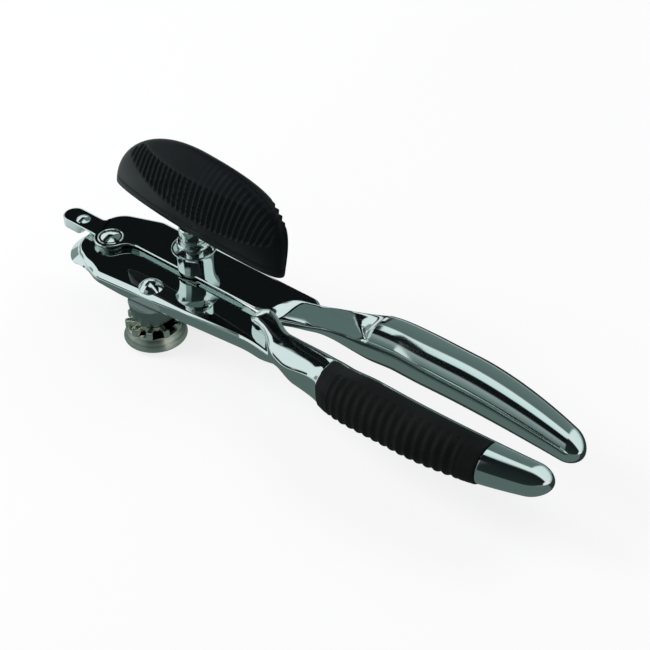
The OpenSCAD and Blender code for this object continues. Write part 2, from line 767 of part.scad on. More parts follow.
module drive_washer() {
    color([0.6, 0.62, 0.6]) translate([0, 0, drive_washer_z]) difference() {
        cylinder(h = drive_washer_t - axial_gap, r = bush_r + 1);
        translate([0, 0, -1]) cylinder(h = drive_washer_t + 2, r = axle_r + fixed_gap);
    }
}

module drive_gear() {
    color([0.66, 0.68, 0.64]) translate([0, 0, cutter_gear_z]) linear_extrude(gear_t) difference() {
        gear_outline(gear_phase);
        flatted(fixed_gap);
    }
}

module feed_wheel() {
    color([0.6, 0.62, 0.6]) translate([0, 0, feed_z]) linear_extrude(feed_t) difference() {
        polygon([for (i = [0 : 2 * feed_teeth - 1])
            (i % 2 == 0 ? feed_r : feed_r - feed_tooth) *
            [cos(i * 180 / feed_teeth), sin(i * 180 / feed_teeth)]]);
        flatted(fixed_gap);
    }
}

module feed_nut() {
    color([0.7, 0.7, 0.66]) translate([0, 0, nut_z]) difference() {
        cylinder(h = nut_t, r = nut_flats / 2 / cos(30), $fn = 6);
        translate([0, 0, -1]) cylinder(h = nut_t + 2, r = thread_r + fixed_gap);
    }
}

// ---------------------------------------------------------------- knob

knob_steps = 40;
knob_back_power = 1.9;
knob_front_power = 4.4;
knob_crown_power = 2.3;
knob_full_at = 0.6;
knob_end_power = 12;

// Share of the knob's length that is left at height h, towards side -1 or +1
function knob_len_at(h, top, side) =
    sqrt(max(0, 1 - pow(h / top, side < 0 ? knob_back_power : knob_front_power)));

// Share of the knob's thickness at height h: narrow base, full middle, round crown
function knob_wide_at(h, top) =
    (knob_base_share + (1 - knob_base_share) * sin(90 * min(1, h / top / knob_full_at)))
    * sqrt(max(0, 1 - pow(h / top, knob_crown_power)));

// Half thickness of the knob at the share s of its half length
function knob_plan(s) = (knob_end_w + (knob_half_w - knob_end_w) * (1 - s * s))
    * sqrt(1 - pow(s, knob_end_power));

// Lens-shaped ring of the knob at height h, drawn in by inset
function knob_ring(h, inset) =
    let (top = knob_h - inset, share = max(0.05, knob_wide_at(h, top) - inset / knob_half_w))
    [for (i = [0 : knob_steps - 1])
        let (a = -(i + 0.5) * 360 / knob_steps, s = cos(a),
             half_l = max(0.6, knob_half_len * knob_len_at(h, top, sign(s)) - inset))
        [knob_shift + half_l * s + h * tan(knob_lean), sign(sin(a)) * share * knob_plan(abs(s)), knob_z + h]];

// Heights of the rings between from and the crown
function knob_levels(from, top) = [for (i = [0 : 10]) from + (top - 0.1 - from) * sin(i * 9)];

module knob_core() {
    inset = knob_cover_t + fixed_gap;
    color([0.13, 0.15, 0.16]) rotate([0, 0, knob_angle]) difference() {
        skin(concat(
            [knob_ring(0, 0.8), knob_ring(0.8, 0), knob_ring(knob_band_h - 0.05, 0)],
            [for (h = knob_levels(knob_band_h, knob_h - inset)) knob_ring(h, inset)]));
        translate([0, 0, knob_z - 1]) rotate([0, 0, -knob_angle]) linear_extrude(shank_h + 1 + fixed_gap)
            square(shank_side + 2 * fixed_gap, center = true);
        translate([0, 0, knob_z + knob_pin_z]) rotate([90, 0, -knob_angle])
            cylinder(h = 2 * knob_pin_reach + 2 * fixed_gap, r = knob_pin_r + fixed_gap, center = true);
    }
}
knob_pin_reach = shank_side / 2 + 0.8;

// Ribbed cover moulded over the core
module knob_cover() {
    outer = [for (h = knob_levels(knob_band_h + fixed_gap, knob_h)) knob_ring(h, 0)];
    inner = [for (h = knob_levels(knob_band_h + fixed_gap, knob_h - knob_cover_t))
        knob_ring(h, knob_cover_t)];
    n = knob_steps;
    m = len(outer);
    function wall(first, flip) = [for (i = [0 : m - 2], j = [0 : n - 1])
        let (k = (j + 1) % n, a = first + i * n + j, b = first + (i + 1) * n + j,
             c = first + (i + 1) * n + k, d = first + i * n + k)
        each flip ? [[a, c, b], [a, d, c]] : [[a, b, c], [a, c, d]]];
    color([0.1, 0.12, 0.13]) rotate([0, 0, knob_angle]) polyhedron(
        points = [for (r = concat(outer, inner)) each r],
        faces = concat(
            wall(0, false), wall(m * n, true),
            [[for (j = [n - 1 : -1 : 0]) (m - 1) * n + j]],
            [[for (j = [0 : n - 1]) (2 * m - 1) * n + j]],
            [for (j = [0 : n - 1]) let (k = (j + 1) % n)
                each [[j, k, m * n + k], [j, m * n + k, m * n + j]]]),
        convexity = 8);
}

module knob_pin() {
    color([0.6, 0.62, 0.62]) translate([0, 0, knob_z + knob_pin_z]) rotate([90, 0, 0])
        cylinder(h = 2 * knob_pin_reach, r = knob_pin_r, center = true);
}

// ---------------------------------------------------------------- drawing

lower_plate();
lower_handle();
lower_tang_pins();
handle_grip();
pivot_rivet();
pivot_washer();
cutter_boss();
cutter_spacer();
cutter_stud();
cutter_gear();
cutter_wheel();
upper_plate();
upper_handle();
upper_tang_pins();
axle_bush();
bush_ring();
wave_washer();
drive_axle();
drive_washer();
drive_gear();
feed_wheel();
feed_nut();
knob_core();
knob_cover();
knob_pin();
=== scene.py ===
"""A hand can opener, dressed: plates, handles, grip, rivets, cutter, axle and knob, with a plain studio.

Every length in this file is in millimetres until put_mesh turns it into metres.
"""
import json
import math

import bpy
import numpy as np
from bpy.props import FloatProperty, FloatVectorProperty, IntProperty
from mathutils import Matrix, Vector


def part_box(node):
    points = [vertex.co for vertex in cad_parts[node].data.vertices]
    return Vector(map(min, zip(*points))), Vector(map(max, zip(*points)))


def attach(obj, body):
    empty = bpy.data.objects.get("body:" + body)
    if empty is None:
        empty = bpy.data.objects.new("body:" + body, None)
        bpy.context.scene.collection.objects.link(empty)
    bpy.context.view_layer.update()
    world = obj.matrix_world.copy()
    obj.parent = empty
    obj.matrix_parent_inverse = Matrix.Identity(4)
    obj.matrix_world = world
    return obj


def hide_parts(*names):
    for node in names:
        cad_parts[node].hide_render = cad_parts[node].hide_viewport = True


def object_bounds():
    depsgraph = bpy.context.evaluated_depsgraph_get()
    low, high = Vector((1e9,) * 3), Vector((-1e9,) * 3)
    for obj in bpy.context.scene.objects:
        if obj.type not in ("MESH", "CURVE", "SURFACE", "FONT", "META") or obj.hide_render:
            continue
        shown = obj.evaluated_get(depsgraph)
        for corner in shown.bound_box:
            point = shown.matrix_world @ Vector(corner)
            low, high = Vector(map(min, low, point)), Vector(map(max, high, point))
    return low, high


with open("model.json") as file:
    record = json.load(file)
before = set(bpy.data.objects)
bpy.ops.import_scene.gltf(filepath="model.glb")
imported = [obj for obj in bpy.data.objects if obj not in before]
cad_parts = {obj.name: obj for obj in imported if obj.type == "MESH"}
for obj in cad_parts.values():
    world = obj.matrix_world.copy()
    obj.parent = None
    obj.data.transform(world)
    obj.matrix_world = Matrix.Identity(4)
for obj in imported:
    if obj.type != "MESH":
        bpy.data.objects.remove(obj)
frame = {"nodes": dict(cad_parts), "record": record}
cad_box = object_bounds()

bl_info = {
    "name": "Can opener builder",
    "version": (1, 0, 0),
    "blender": (4, 5, 0),
    "location": "View3D > Sidebar > Can Opener",
    "description": "Builds the smooth pieces, finishes and studio of a hand can opener",
    "category": "Add Mesh",
}

MM = 0.001
TURN = 2 * math.pi
CUP_HEIGHT = 7.6


# ---- places from the frame

def node_box(node):
    """Lowest and highest corner of a CAD node, in millimetres."""
    low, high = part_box(node)
    return np.array(low) / MM, np.array(high) / MM


def joint_place(name):
    """A joint's point in plan, in millimetres."""
    for joint in frame["record"]["behaviour"]["joints"]:
        if joint["name"] == name:
            return np.array(joint["pos_m"][:2]) / MM
    raise ValueError("no joint " + name)


def plate_face():
    """Height of the upper plate's top face, on which the bush's cup stands."""
    return node_box("axle_bush")[1][2] - CUP_HEIGHT


PIVOT = joint_place("arm_pivot")
STUD = joint_place("cutter_spin")
AXLE = joint_place("knob_spin")
LEFT_END = PIVOT + [-0.3, -1.9]
CORNER_X = PIVOT[0] + 9.2
NOTCH = 4.6  # the radius of the notch round the bush
THICKNESS = 1.6


# ---- sizes and colours

def length(name, default, description):
    """A length in millimetres that a user may change."""
    return FloatProperty(name=name, default=default, min=0.0, description=description + ", in millimetres")


def place(name, default, description):
    """A signed place or offset in millimetres."""
    return FloatProperty(name=name, default=default, description=description + ", in millimetres")


def number(name, default, description):
    """A plain number, such as a share, a power or a strength."""
    return FloatProperty(name=name, default=default, description=description)


def degrees(name, default, description, **limits):
    """An angle in degrees."""
    return FloatProperty(name=name, default=default, description=description + ", in degrees", **limits)


def colour(name, default):
    """A linear colour."""
    return FloatVectorProperty(name=name, default=default, size=3, subtype="COLOR", min=0.0, max=1.0,
                               description="Colour of the " + name.lower())


class PlateSizes(bpy.types.PropertyGroup):
    """Edges and flanges of the two pressed plates."""
    lower_edge: length("Lower rolled edge", 1.9, "Radius of the lower plate's rolled edge")
    upper_edge: length("Upper edge", 0.4, "Radius of the upper plate's edge")
    undercut: length("Undercut", 2.1, "How far the upper plate's edge leans in towards its underside")
    wall: length("Flange wall", 1.1, "Thickness of the turned-down flanges")
    flare: length("Flare", 2.6, "How far the flange flares at the left end")
    end_radius: length("End radius", 9.7, "Radius of the lower plate's left end")
    corner_radius: length("Corner radius", 10.0, "Radius of the lower plate's near corner")
    lobe_radius: length("Lobe radius", 5.7, "Radius of the upper plate's lobe")
    shoulder_radius: length("Shoulder radius", 8.0, "Radius of the upper plate's shoulder")
    near_edge: length("Near edge", 4.5, "Distance from the axle to the upper plate's near edge")
    ear_radius: length("Ear radius", 4.0, "Radius of the ear's end")


class HandleSizes(bpy.types.PropertyGroup):
    """Stations of the two cast handles."""
    pair_y: place("Pair line", -5.0, "Offset of the handles' common centre line")
    neck_x: place("Neck", 50.0, "Where the neck lies")
    belly_start: place("Belly start", 80.0, "Where the belly starts")
    belly_end: place("Belly end", 102.0, "Where the belly ends")
    neck_off: length("Neck offset", 8.4, "Offset of the neck from the centre line")
    belly_off: length("Belly offset", 13.0, "Offset of the belly from the centre line")
    tip_off: length("Tip offset", 7.0, "Offset of the tips from the centre line")
    nose_half: length("Nose half width", 4.2, "Half the width of the nose")
    neck_half: length("Neck half width", 3.6, "Half the width of the neck")
    belly_half: length("Belly half width", 8.0, "Half the width of the belly")
    tip_half: length("Tip half width", 4.6, "Half the width at the tips")
    neck_height: length("Neck half height", 4.9, "Half the height of the neck")
    belly_height: length("Belly half height", 7.5, "Half the height of the belly")
    tip_height: length("Tip half height", 4.4, "Half the height at the tips")
    neck_drop: length("Neck drop", 1.2, "How far the lower nose and neck hang below the plate's top")
    neck_roof: length("Neck roof", 2.9, "Height of the upper neck's top over the plate's top")
    neck_floor: place("Neck floor", -0.5, "Height of the upper neck's underside over the plate's top")
    spread: length("Upper spread", 1.5, "How much further out the upper handle stands")
    nose_round: length("Nose rounding", 5.5, "Length of the rounding at the nose")
    tip_round: length("Tip rounding", 6.0, "Length of the rounding at the tip")
    fall: number("Fall", 1.7, "Power of the curve from belly to tip")
    neck_tilt: degrees("Neck tilt", 8.0, "Inward tilt of the upper neck's flat top")
    nose_slope: degrees("Nose slope", 16.0, "Slope of the upper nose's facet")
    nose_facet: length("Nose facet", 6.5, "Length of the upper nose's facet")
    shoulder_x: place("Shoulder", 70.5, "Where the upper handle's shoulder stands")
    scoop: length("Scoop", 13.5, "Length of the scoop in front of the shoulder on its outer side")


class GripSizes(bpy.types.PropertyGroup):
    """The rubber sleeve on the lower handle."""
    ribs: IntProperty(name="Ribs", default=16, min=4, description="Number of cross ribs")
    rib_depth: length("Rib depth", 0.5, "Depth between two ribs")
    proud: length("Proud", 0.4, "How far the grip stands out of the handle")
    depth: length("Depth", 1.2, "How deep the grip is let in")
    bare: degrees("Bare angle", 64.0, "Half the angle of the bare strip on the inner side",
                  min=10.0, max=80.0)
    margin: length("Margin", 4.5, "Plain margin at each end of the ribbed panel")


class KnobSizes(bpy.types.PropertyGroup):
    """The turning knob."""
    ribs: IntProperty(name="Ribs", default=25, min=8, description="Number of ribs along the knob")
    rib_depth: length("Rib depth", 0.75, "Depth between two ribs")
    band: length("Band", 4.0, "Height of the plain band at the base")
    half_length: length("Half length", 39.0, "Half the knob's length at its base")
    half_width: length("Half width", 6.6, "Half the knob's thickness in the middle")
    end_width: length("End half width", 4.2, "Half the knob's thickness at its ends")
    shift: place("Shift", 2.2, "How far the knob's middle lies past the axle")
    base_share: number("Base share", 0.6, "Share of the thickness at the base")
    lean: degrees("Lean", 8.0, "Lean of the crown towards the tips")
    crease: number("Crease", 0.76, "Height of the crease, as a share of the top")
    angle: degrees("Angle", -4.0, "Angle of the knob about the axle")


class Finishes(bpy.types.PropertyGroup):
    """Colours of the finishes."""
    chrome: colour("Chrome", (0.70, 0.76, 0.75))
    nickel: colour("Nickel", (0.62, 0.62, 0.54))
    satin: colour("Satin steel", (0.36, 0.41, 0.39))
    steel: colour("Plain steel", (0.5, 0.51, 0.49))
    rubber: colour("Grip rubber", (0.007, 0.008, 0.008))
    knob: colour("Knob", (0.005, 0.0068, 0.008))


class StageSizes(bpy.types.PropertyGroup):
    """Light levels of the studio."""
    key: number("Key", 5.0, "Power of the large soft light, in watts")
    fill: number("Fill", 0.55, "Strength of the even surrounding light")


GROUPS = {"plate": PlateSizes, "handle": HandleSizes, "grip": GripSizes, "knob": KnobSizes,
          "finish": Finishes, "studio": StageSizes}


def sizes(group):
    """The property group of that name on the scene."""
    return getattr(bpy.context.scene, "opener_" + group)


# ---- mesh helpers

def ring_faces(rows, columns, wrap_rows=False):
    """Quads between neighbouring closed rings of a grid of points, row by row."""
    last = rows if wrap_rows else rows - 1
    i, j = np.meshgrid(np.arange(last), np.arange(columns), indexing="ij")
    down, side = (i + 1) % rows, (j + 1) % columns
    quads = np.stack([i * columns + j, i * columns + side, down * columns + side, down * columns + j], -1)
    return quads.reshape(-1, 4).tolist()


def add_object(name, data):
    """A new object of the scene, at the origin."""
    made = bpy.data.objects.new(name, data)
    bpy.context.scene.collection.objects.link(made)
    return made


def put_mesh(name, points, faces, slot, body, nodes=None, sharp=35.0):
    """Makes a piece from points in millimetres, turns its faces outwards and joins it to its body.

    It takes the place of the CAD node of its own name, unless nodes says otherwise.
    """
    mesh = bpy.data.meshes.new(name)
    mesh.from_pydata((np.asarray(points, float).reshape(-1, 3) * MM).tolist(), [], faces)
    mesh.validate()
    mesh.calc_loop_triangles()
    corners = np.zeros(len(mesh.loop_triangles) * 3, np.int32)
    mesh.loop_triangles.foreach_get("vertices", corners)
    places = np.zeros(len(mesh.vertices) * 3)
    mesh.vertices.foreach_get("co", places)
    a, b, c = places.reshape(-1, 3)[corners.reshape(-1, 3)].transpose(1, 0, 2)
    if np.einsum("ij,ij->", a, np.cross(b, c)) < 0:
        mesh.flip_normals()
    mesh.polygons.foreach_set("use_smooth", np.ones(len(mesh.polygons), bool))
    mesh.set_sharp_from_angle(angle=math.radians(sharp))
    mesh.materials.append(MATERIALS[slot])
    mesh.update()
    piece = add_object(name.replace(" ", "-"), mesh)
    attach(piece, body)
    if nodes is None:
        nodes = [name.replace(" ", "_")]
    if nodes:
        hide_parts(*nodes)


def tube(name, rings, slot, body, wrap_rows=False, **options):
    """A stack of closed rings, with a flat cap on the first and the last one unless they join up."""
    rings = np.asarray(rings, float)
    rows, columns = rings.shape[:2]
    faces = ring_faces(rows, columns, wrap_rows)
    if not wrap_rows:
        faces += [list(range(columns)), list(range((rows - 1) * columns, rows * columns))[::-1]]
    put_mesh(name, rings, faces, slot, body, **options)


def turned(name, profile, centre, slot, body, steps=96, **options):
    """A piece turned about a vertical line: each profile point (radius, height) becomes a ring."""
    profile = np.asarray(profile, float)
    t = np.arange(steps) * TURN / steps
    x = centre[0] + profile[:, :1] * np.cos(t)
    y = centre[1] + profile[:, :1] * np.sin(t)
    rings = np.stack([x, y, np.broadcast_to(profile[:, 1:], x.shape)], -1)
    tube(name, rings, slot, body, **options)


def dome_profile(radius, base, height):
    """Profile of a spherical cap that stands on a plane, from its rim to just beside its pole."""
    ball = (radius ** 2 + height ** 2) / (2 * height)
    t = np.linspace(math.asin(min(1.0, radius / ball)), 0.004, 16)
    return np.stack([ball * np.sin(t), base + height - ball + ball * np.cos(t)], -1)


def ramp(x, start, end):
    """Smooth step from 0 at start to 1 at end, where end may be the lower of the two."""
    t = np.clip((x - start) / (end - start), 0.0, 1.0)
    return t * t * (3 - 2 * t)


def along(x, stations):
    """Value at x of a curve that eases from one station (x, value) to the next."""
    value = np.full(np.shape(x), float(stations[0][1]))
    for (x0, v0), (x1, v1) in zip(stations, stations[1:]):
        value = value + (v1 - v0) * ramp(x, x0, x1)
    return value


def belt(circles, step=0.35):
    """Closed outline round circles (x, y, radius), where a negative radius turns the other way.

    Tangent lines join one circle to the next, and each circle gives an arc between its two tangents.
    """
    circles = np.asarray(circles, float)
    gap = np.roll(circles[:, :2], -1, 0) - circles[:, :2]
    change = circles[:, 2] - np.roll(circles[:, 2], -1)
    turn = np.arcsin(np.clip(change / np.linalg.norm(gap, axis=1), -1, 1))
    heading = np.arctan2(gap[:, 1], gap[:, 0]) + turn
    points = []
    for (x, y, r), came, goes in zip(circles, np.roll(heading, 1), heading):
        sweep = (goes - came) % TURN if r > 0 else -((came - goes) % TURN)
        t = came + sweep * np.linspace(0, 1, max(3, int(abs(sweep * r) / step) + 1))
        points.append(np.stack([x + r * np.sin(t), y - r * np.cos(t)], -1))
    outline = np.concatenate(points)
    following = np.roll(outline, -1, 0)
    counts = np.maximum(1, (np.linalg.norm(following - outline, axis=1) / 1.2).astype(int))
    dense = [a + (b - a) * np.arange(n)[:, None] / n for a, b, n in zip(outline, following, counts)]
    return np.concatenate(dense)


def inset(outline, depth):
    """Outline moved inwards by depth, along the mean normal at each point."""
    ahead = np.roll(outline, -1, 0) - outline
    ahead /= np.linalg.norm(ahead, axis=1, keepdims=True) + 1e-9
    back = np.roll(ahead, 1, 0)
    mean = ahead + back
    mean /= np.linalg.norm(mean, axis=1, keepdims=True)
    miter = 1 / np.maximum(0.5, np.einsum("ij,ij->i", mean, ahead))
    inward = np.stack([-mean[:, 1], mean[:, 0]], -1)
    return outline + inward * (miter * depth)[:, None]


def rings_at(outline, levels):
    """Rings of an outline, one for each (inset, height); both may vary along the outline."""
    rings = []
    for depth, height in levels:
        flat = inset(outline, np.broadcast_to(depth, len(outline)))
        rings.append(np.concatenate([flat, np.broadcast_to(height, len(outline))[:, None]], -1))
    return np.stack(rings)


# ---- shader groups

def new_group(name, inputs, outputs):
    """A node group with float inputs (name, default) and outputs (name, kind)."""
    group = bpy.data.node_groups.new(name, "ShaderNodeTree")
    for label, default in inputs:
        kind = "NodeSocketVector" if isinstance(default, tuple) else "NodeSocketFloat"
        socket = group.interface.new_socket(label, in_out="INPUT", socket_type=kind)
        socket.default_value = default
    for label, kind in outputs:
        group.interface.new_socket(label, in_out="OUTPUT", socket_type="NodeSocket" + kind)
    return group, group.nodes.new("NodeGroupInput"), group.nodes.new("NodeGroupOutput")


def node(tree, kind, links=None, **settings):
    """Adds a node; settings are its attributes, links its inputs as values or sockets."""
    made = tree.nodes.new("ShaderNode" + kind)
    for key, value in settings.items():
        setattr(made, key, value)
    for key, value in (links or {}).items():
        if isinstance(value, bpy.types.NodeSocket):
            tree.links.new(value, made.inputs[key])
        else:
            made.inputs[key].default_value = value
    return made


def maths(tree, operation, *values):
    """The result of a Math node on numbers or sockets."""
    return node(tree, "Math", dict(enumerate(values)), operation=operation).outputs[0]


def remap(tree, value, start=0.0, end=1.0, low=0.0, high=1.0):
    """A value carried from the range start to end over to the range low to high."""
    return node(tree, "MapRange", {"Value": value, "From Min": start, "From Max": end,
                                   "To Min": low, "To Max": high}).outputs[0]


def mix_colours(tree, share, first, second):
    """Blends from the first colour to the second by a share from 0 to 1."""
    return node(tree, "MixRGB", {"Fac": share, "Color1": first, "Color2": second}).outputs[0]


def here(tree):
    """The place on the piece, in object coordinates."""
    return node(tree, "TexCoord").outputs["Object"]


def handling_marks():
    """Faint cloudy smears and hairlines of a wiped metal surface: a roughness and a height."""
    group, given, out = new_group("handling marks", [("Size", 60.0), ("Low", 0.03), ("High", 0.1)],
                                  [("Roughness", "Float"), ("Height", "Float")])
    cloud = node(group, "TexNoise", {"Vector": here(group), "Scale": given.outputs["Size"], "Detail": 4.0})
    stretch = node(group, "Mapping", {"Vector": here(group), "Scale": (60.0, 900.0, 900.0)})
    hair = node(group, "TexNoise", {"Vector": stretch.outputs[0], "Scale": 1.0, "Detail": 3.0})
    both = maths(group, "MULTIPLY", cloud.outputs[0], hair.outputs[0])
    rough = remap(group, both, 0.12, 0.42, given.outputs["Low"], given.outputs["High"])
    group.links.new(rough, out.inputs["Roughness"])
    group.links.new(hair.outputs[0], out.inputs["Height"])
    return group


def turned_rings():
    """Fine circular tool marks round a vertical line: a tone from 0 to 1."""
    group, given, out = new_group("turned rings", [("Centre", (0.0, 0.0, 0.0)), ("Spacing", 0.0004)],
                                  [("Tone", "Float")])
    local = node(group, "VectorMath", {0: here(group), 1: given.outputs["Centre"]}, operation="SUBTRACT")
    parts = node(group, "SeparateXYZ", {0: local.outputs[0]})
    flat = node(group, "CombineXYZ", {0: parts.outputs[0], 1: parts.outputs[1]})
    radius = node(group, "VectorMath", {0: flat.outputs[0]}, operation="LENGTH")
    both = maths(group, "ADD", radius.outputs["Value"], parts.outputs[2])
    count = maths(group, "DIVIDE", both, given.outputs["Spacing"])
    tone = node(group, "TexNoise", {"W": count, "Scale": 1.0, "Detail": 3.0}, noise_dimensions="1D")
    group.links.new(tone.outputs[0], out.inputs["Tone"])
    return group


def soft_grain():
    """Fine pebbled grain of moulded rubber, with a slow cloudy tone."""
    group, given, out = new_group("soft grain", [("Size", 2500.0)], [("Tone", "Float"), ("Height", "Float")])
    fine = node(group, "TexVoronoi", {"Vector": here(group), "Scale": given.outputs["Size"]})
    slow = node(group, "TexNoise", {"Vector": here(group), "Scale": 90.0, "Detail": 5.0})
    group.links.new(slow.outputs[0], out.inputs["Tone"])
    group.links.new(fine.outputs[0], out.inputs["Height"])
    return group


def use_group(tree, group, **values):
    """Places a group in a material with its own values."""
    made = tree.nodes.new("ShaderNodeGroup")
    made.node_tree = group
    for key, value in values.items():
        made.inputs[key].default_value = value
    return made


def blank_material(name, **constants):
    """A material with one Principled shader; constants go straight on its sockets."""
    material = bpy.data.materials.new(name)
    material.use_nodes = True
    shader = material.node_tree.nodes["Principled BSDF"]
    for key, value in constants.items():
        shader.inputs[key.replace("_", " ")].default_value = value
    return material, material.node_tree, shader


def add_bump(tree, shader, height, strength, distance):
    """Feeds a height into the shader's normal."""
    bump = node(tree, "Bump", {"Height": height, "Strength": strength, "Distance": distance})
    tree.links.new(bump.outputs[0], shader.inputs["Normal"])


def two_tones(tree, shader, mask, dark, light, low=0.3, high=0.7):
    """Blends two colours by a mask into the base colour."""
    blend = node(tree, "ValToRGB", {"Fac": mask})
    for stop, position, tone in zip(blend.color_ramp.elements, (low, high), (dark, light)):
        stop.position, stop.color = position, (*tone, 1.0)
    tree.links.new(blend.outputs[0], shader.inputs["Base Color"])


def shade(tone, factor):
    """A colour made lighter or darker."""
    return tuple(min(1.0, part * factor) for part in tone)


def chrome(name, tone, low, high):
    """Bright plate with faint wiping marks."""
    material, tree, shader = blank_material(name, Metallic=1.0)
    marks = use_group(tree, SHARED["marks"], Size=55.0, Low=low, High=high)
    tree.links.new(marks.outputs["Roughness"], shader.inputs["Roughness"])
    two_tones(tree, shader, marks.outputs["Height"], shade(tone, 0.97), tone)
    add_bump(tree, shader, marks.outputs["Height"], 0.02, 0.00005)
    return material


def turned_metal(name, tone, centre, spacing, low, high, strength):
    """Metal with circular tool marks round its own axis."""
    material, tree, shader = blank_material(name, Metallic=1.0)
    rings = use_group(tree, SHARED["rings"], Centre=(centre[0] * MM, centre[1] * MM, 0.0), Spacing=spacing)
    tree.links.new(remap(tree, rings.outputs["Tone"], low=low, high=high), shader.inputs["Roughness"])
    two_tones(tree, shader, rings.outputs["Tone"], shade(tone, 0.75), shade(tone, 1.1))
    add_bump(tree, shader, rings.outputs["Tone"], strength, 0.0001)
    return material


def moulded(name, tone, roughness, size, strength):
    """Dark moulded rubber or plastic with a fine grain."""
    material, tree, shader = blank_material(name, Specular_IOR_Level=0.08)
    grain = use_group(tree, SHARED["grain"], Size=size)
    rough = remap(tree, grain.outputs["Tone"], low=roughness - 0.08, high=roughness + 0.08)
    tree.links.new(rough, shader.inputs["Roughness"])
    two_tones(tree, shader, grain.outputs["Tone"], shade(tone, 0.8), shade(tone, 1.25))
    add_bump(tree, shader, grain.outputs["Height"], strength, 0.00012)
    return material


SHARED = {}
MATERIALS = {}


class OPENER_OT_finishes(bpy.types.Operator):
    """Makes the shared shader groups and every material"""
    bl_idname = "opener.finishes"
    bl_label = "Finishes"

    def execute(self, context):
        tones = sizes("finish")
        SHARED.update(marks=handling_marks(), rings=turned_rings(), grain=soft_grain())
        MATERIALS.update(
            plate_chrome=chrome("plate chrome", tones.chrome, 0.02, 0.05),
            handle_chrome=chrome("handle chrome", tones.chrome, 0.05, 0.11),
            rivet_chrome=chrome("rivet chrome", tones.chrome, 0.07, 0.14),
            gear_nickel=turned_metal("gear nickel", shade(tones.nickel, 1.4), STUD,
                                     0.0008, 0.14, 0.26, 0.2),
            cutter_steel=turned_metal("cutter steel", shade(tones.nickel, 1.5), STUD,
                                      0.0004, 0.24, 0.38, 0.3),
            boss_satin=turned_metal("boss satin", tones.satin, STUD, 0.0003, 0.3, 0.42, 0.3),
            small_steel=turned_metal("small steel", tones.steel, AXLE, 0.0003, 0.22, 0.36, 0.3),
            grip_rubber=moulded("grip rubber", tones.rubber, 0.46, 2600.0, 0.25),
            knob_band=moulded("knob band", tones.knob, 0.36, 2200.0, 0.15),
            knob_rubber=moulded("knob rubber", tones.knob, 0.38, 2600.0, 0.2))
        slots = {part["node"]: part["material_slot"] for part in frame["record"]["subparts"]}
        for name, piece in frame["nodes"].items():
            piece.data.materials.clear()
            piece.data.materials.append(MATERIALS[slots[name]])
        return {"FINISHED"}


# ---- plates

def plate_levels(under, top, edge, wall, deep, flare, count):
    """Levels of a pressed plate's edge: inner wall, lower lip, outer wall, rolled edge, flat top.

    deep and flare say, at each of the outline's count points, how far the wall hangs down and leans out.
    The rolled edge is a superellipse, flattest where it slopes at 45 degrees.
    """
    deep = np.maximum(np.broadcast_to(deep, count), 0.04)
    out = -np.broadcast_to(flare, count)
    lip = under - deep
    small = np.minimum(0.3, 0.4 * wall)
    levels = [(wall + 0.5, under), (wall, under), (wall + out, lip + small), (wall + out - small, lip),
              (out + small, lip), (out + 0.3 * small, lip + 0.3 * small), (out, lip + small)]
    levels += [(share * out, share * (lip + small) + (1 - share) * (top - edge))
               for share in (0.7, 0.4, 0.15)]
    turn = np.radians(np.linspace(0, 90, 13))
    levels += [(edge * (1 - np.cos(a) ** 1.4), top - edge * (1 - np.sin(a) ** 1.4)) for a in turn]
    return levels + [(edge + 0.5, top)]


def lower_outline():
    """The lower plate: a round left end, a near corner, a narrow throat and a notch for the bush."""
    plate = sizes("plate")
    corner_y = node_box("lower_plate")[0][1] + plate.corner_radius
    return belt([(*LEFT_END, plate.end_radius), (CORNER_X, corner_y, plate.corner_radius),
                 (36.0, -56.1, -40.0), (51.0, -14.9, 2.7), (34.0, -10.0, 6.1),
                 (NOTCH + 0.1, -1.8, 0.3), (0.0, 0.0, -NOTCH), (-NOTCH - 0.3, -0.9, 0.3)])


def upper_outline():
    """The upper plate: ear, lobe, straight near edge, blunt right end, far edge and shoulder."""
    plate = sizes("plate")
    low, high = node_box("upper_plate")
    round_ear, round_back, near = plate.ear_radius, plate.shoulder_radius, -plate.near_edge
    ear_x, ear_y = low[0] + round_ear, PIVOT[1] + 1.6
    back_x, back_y = PIVOT[0] - 0.2, round_back - 8.6
    return belt([(ear_x, ear_y, round_ear), (PIVOT[0] - 6.05, ear_y - round_ear - 1.5, -1.5),
                 (*PIVOT, plate.lobe_radius), (PIVOT[0] + 10.9, near - 6.0, -6.0),
                 (29.5, near + 3.0, 3.0), (36.0, -0.6, 2.0), (44.5, 3.2, 1.5),
                 (41.5, high[1] - 5.0, 4.2), (CORNER_X, 5.0, 6.0), (back_x, back_y, round_back),
                 (back_x - 9.1, ear_y + round_ear + 1.2, -1.2)])


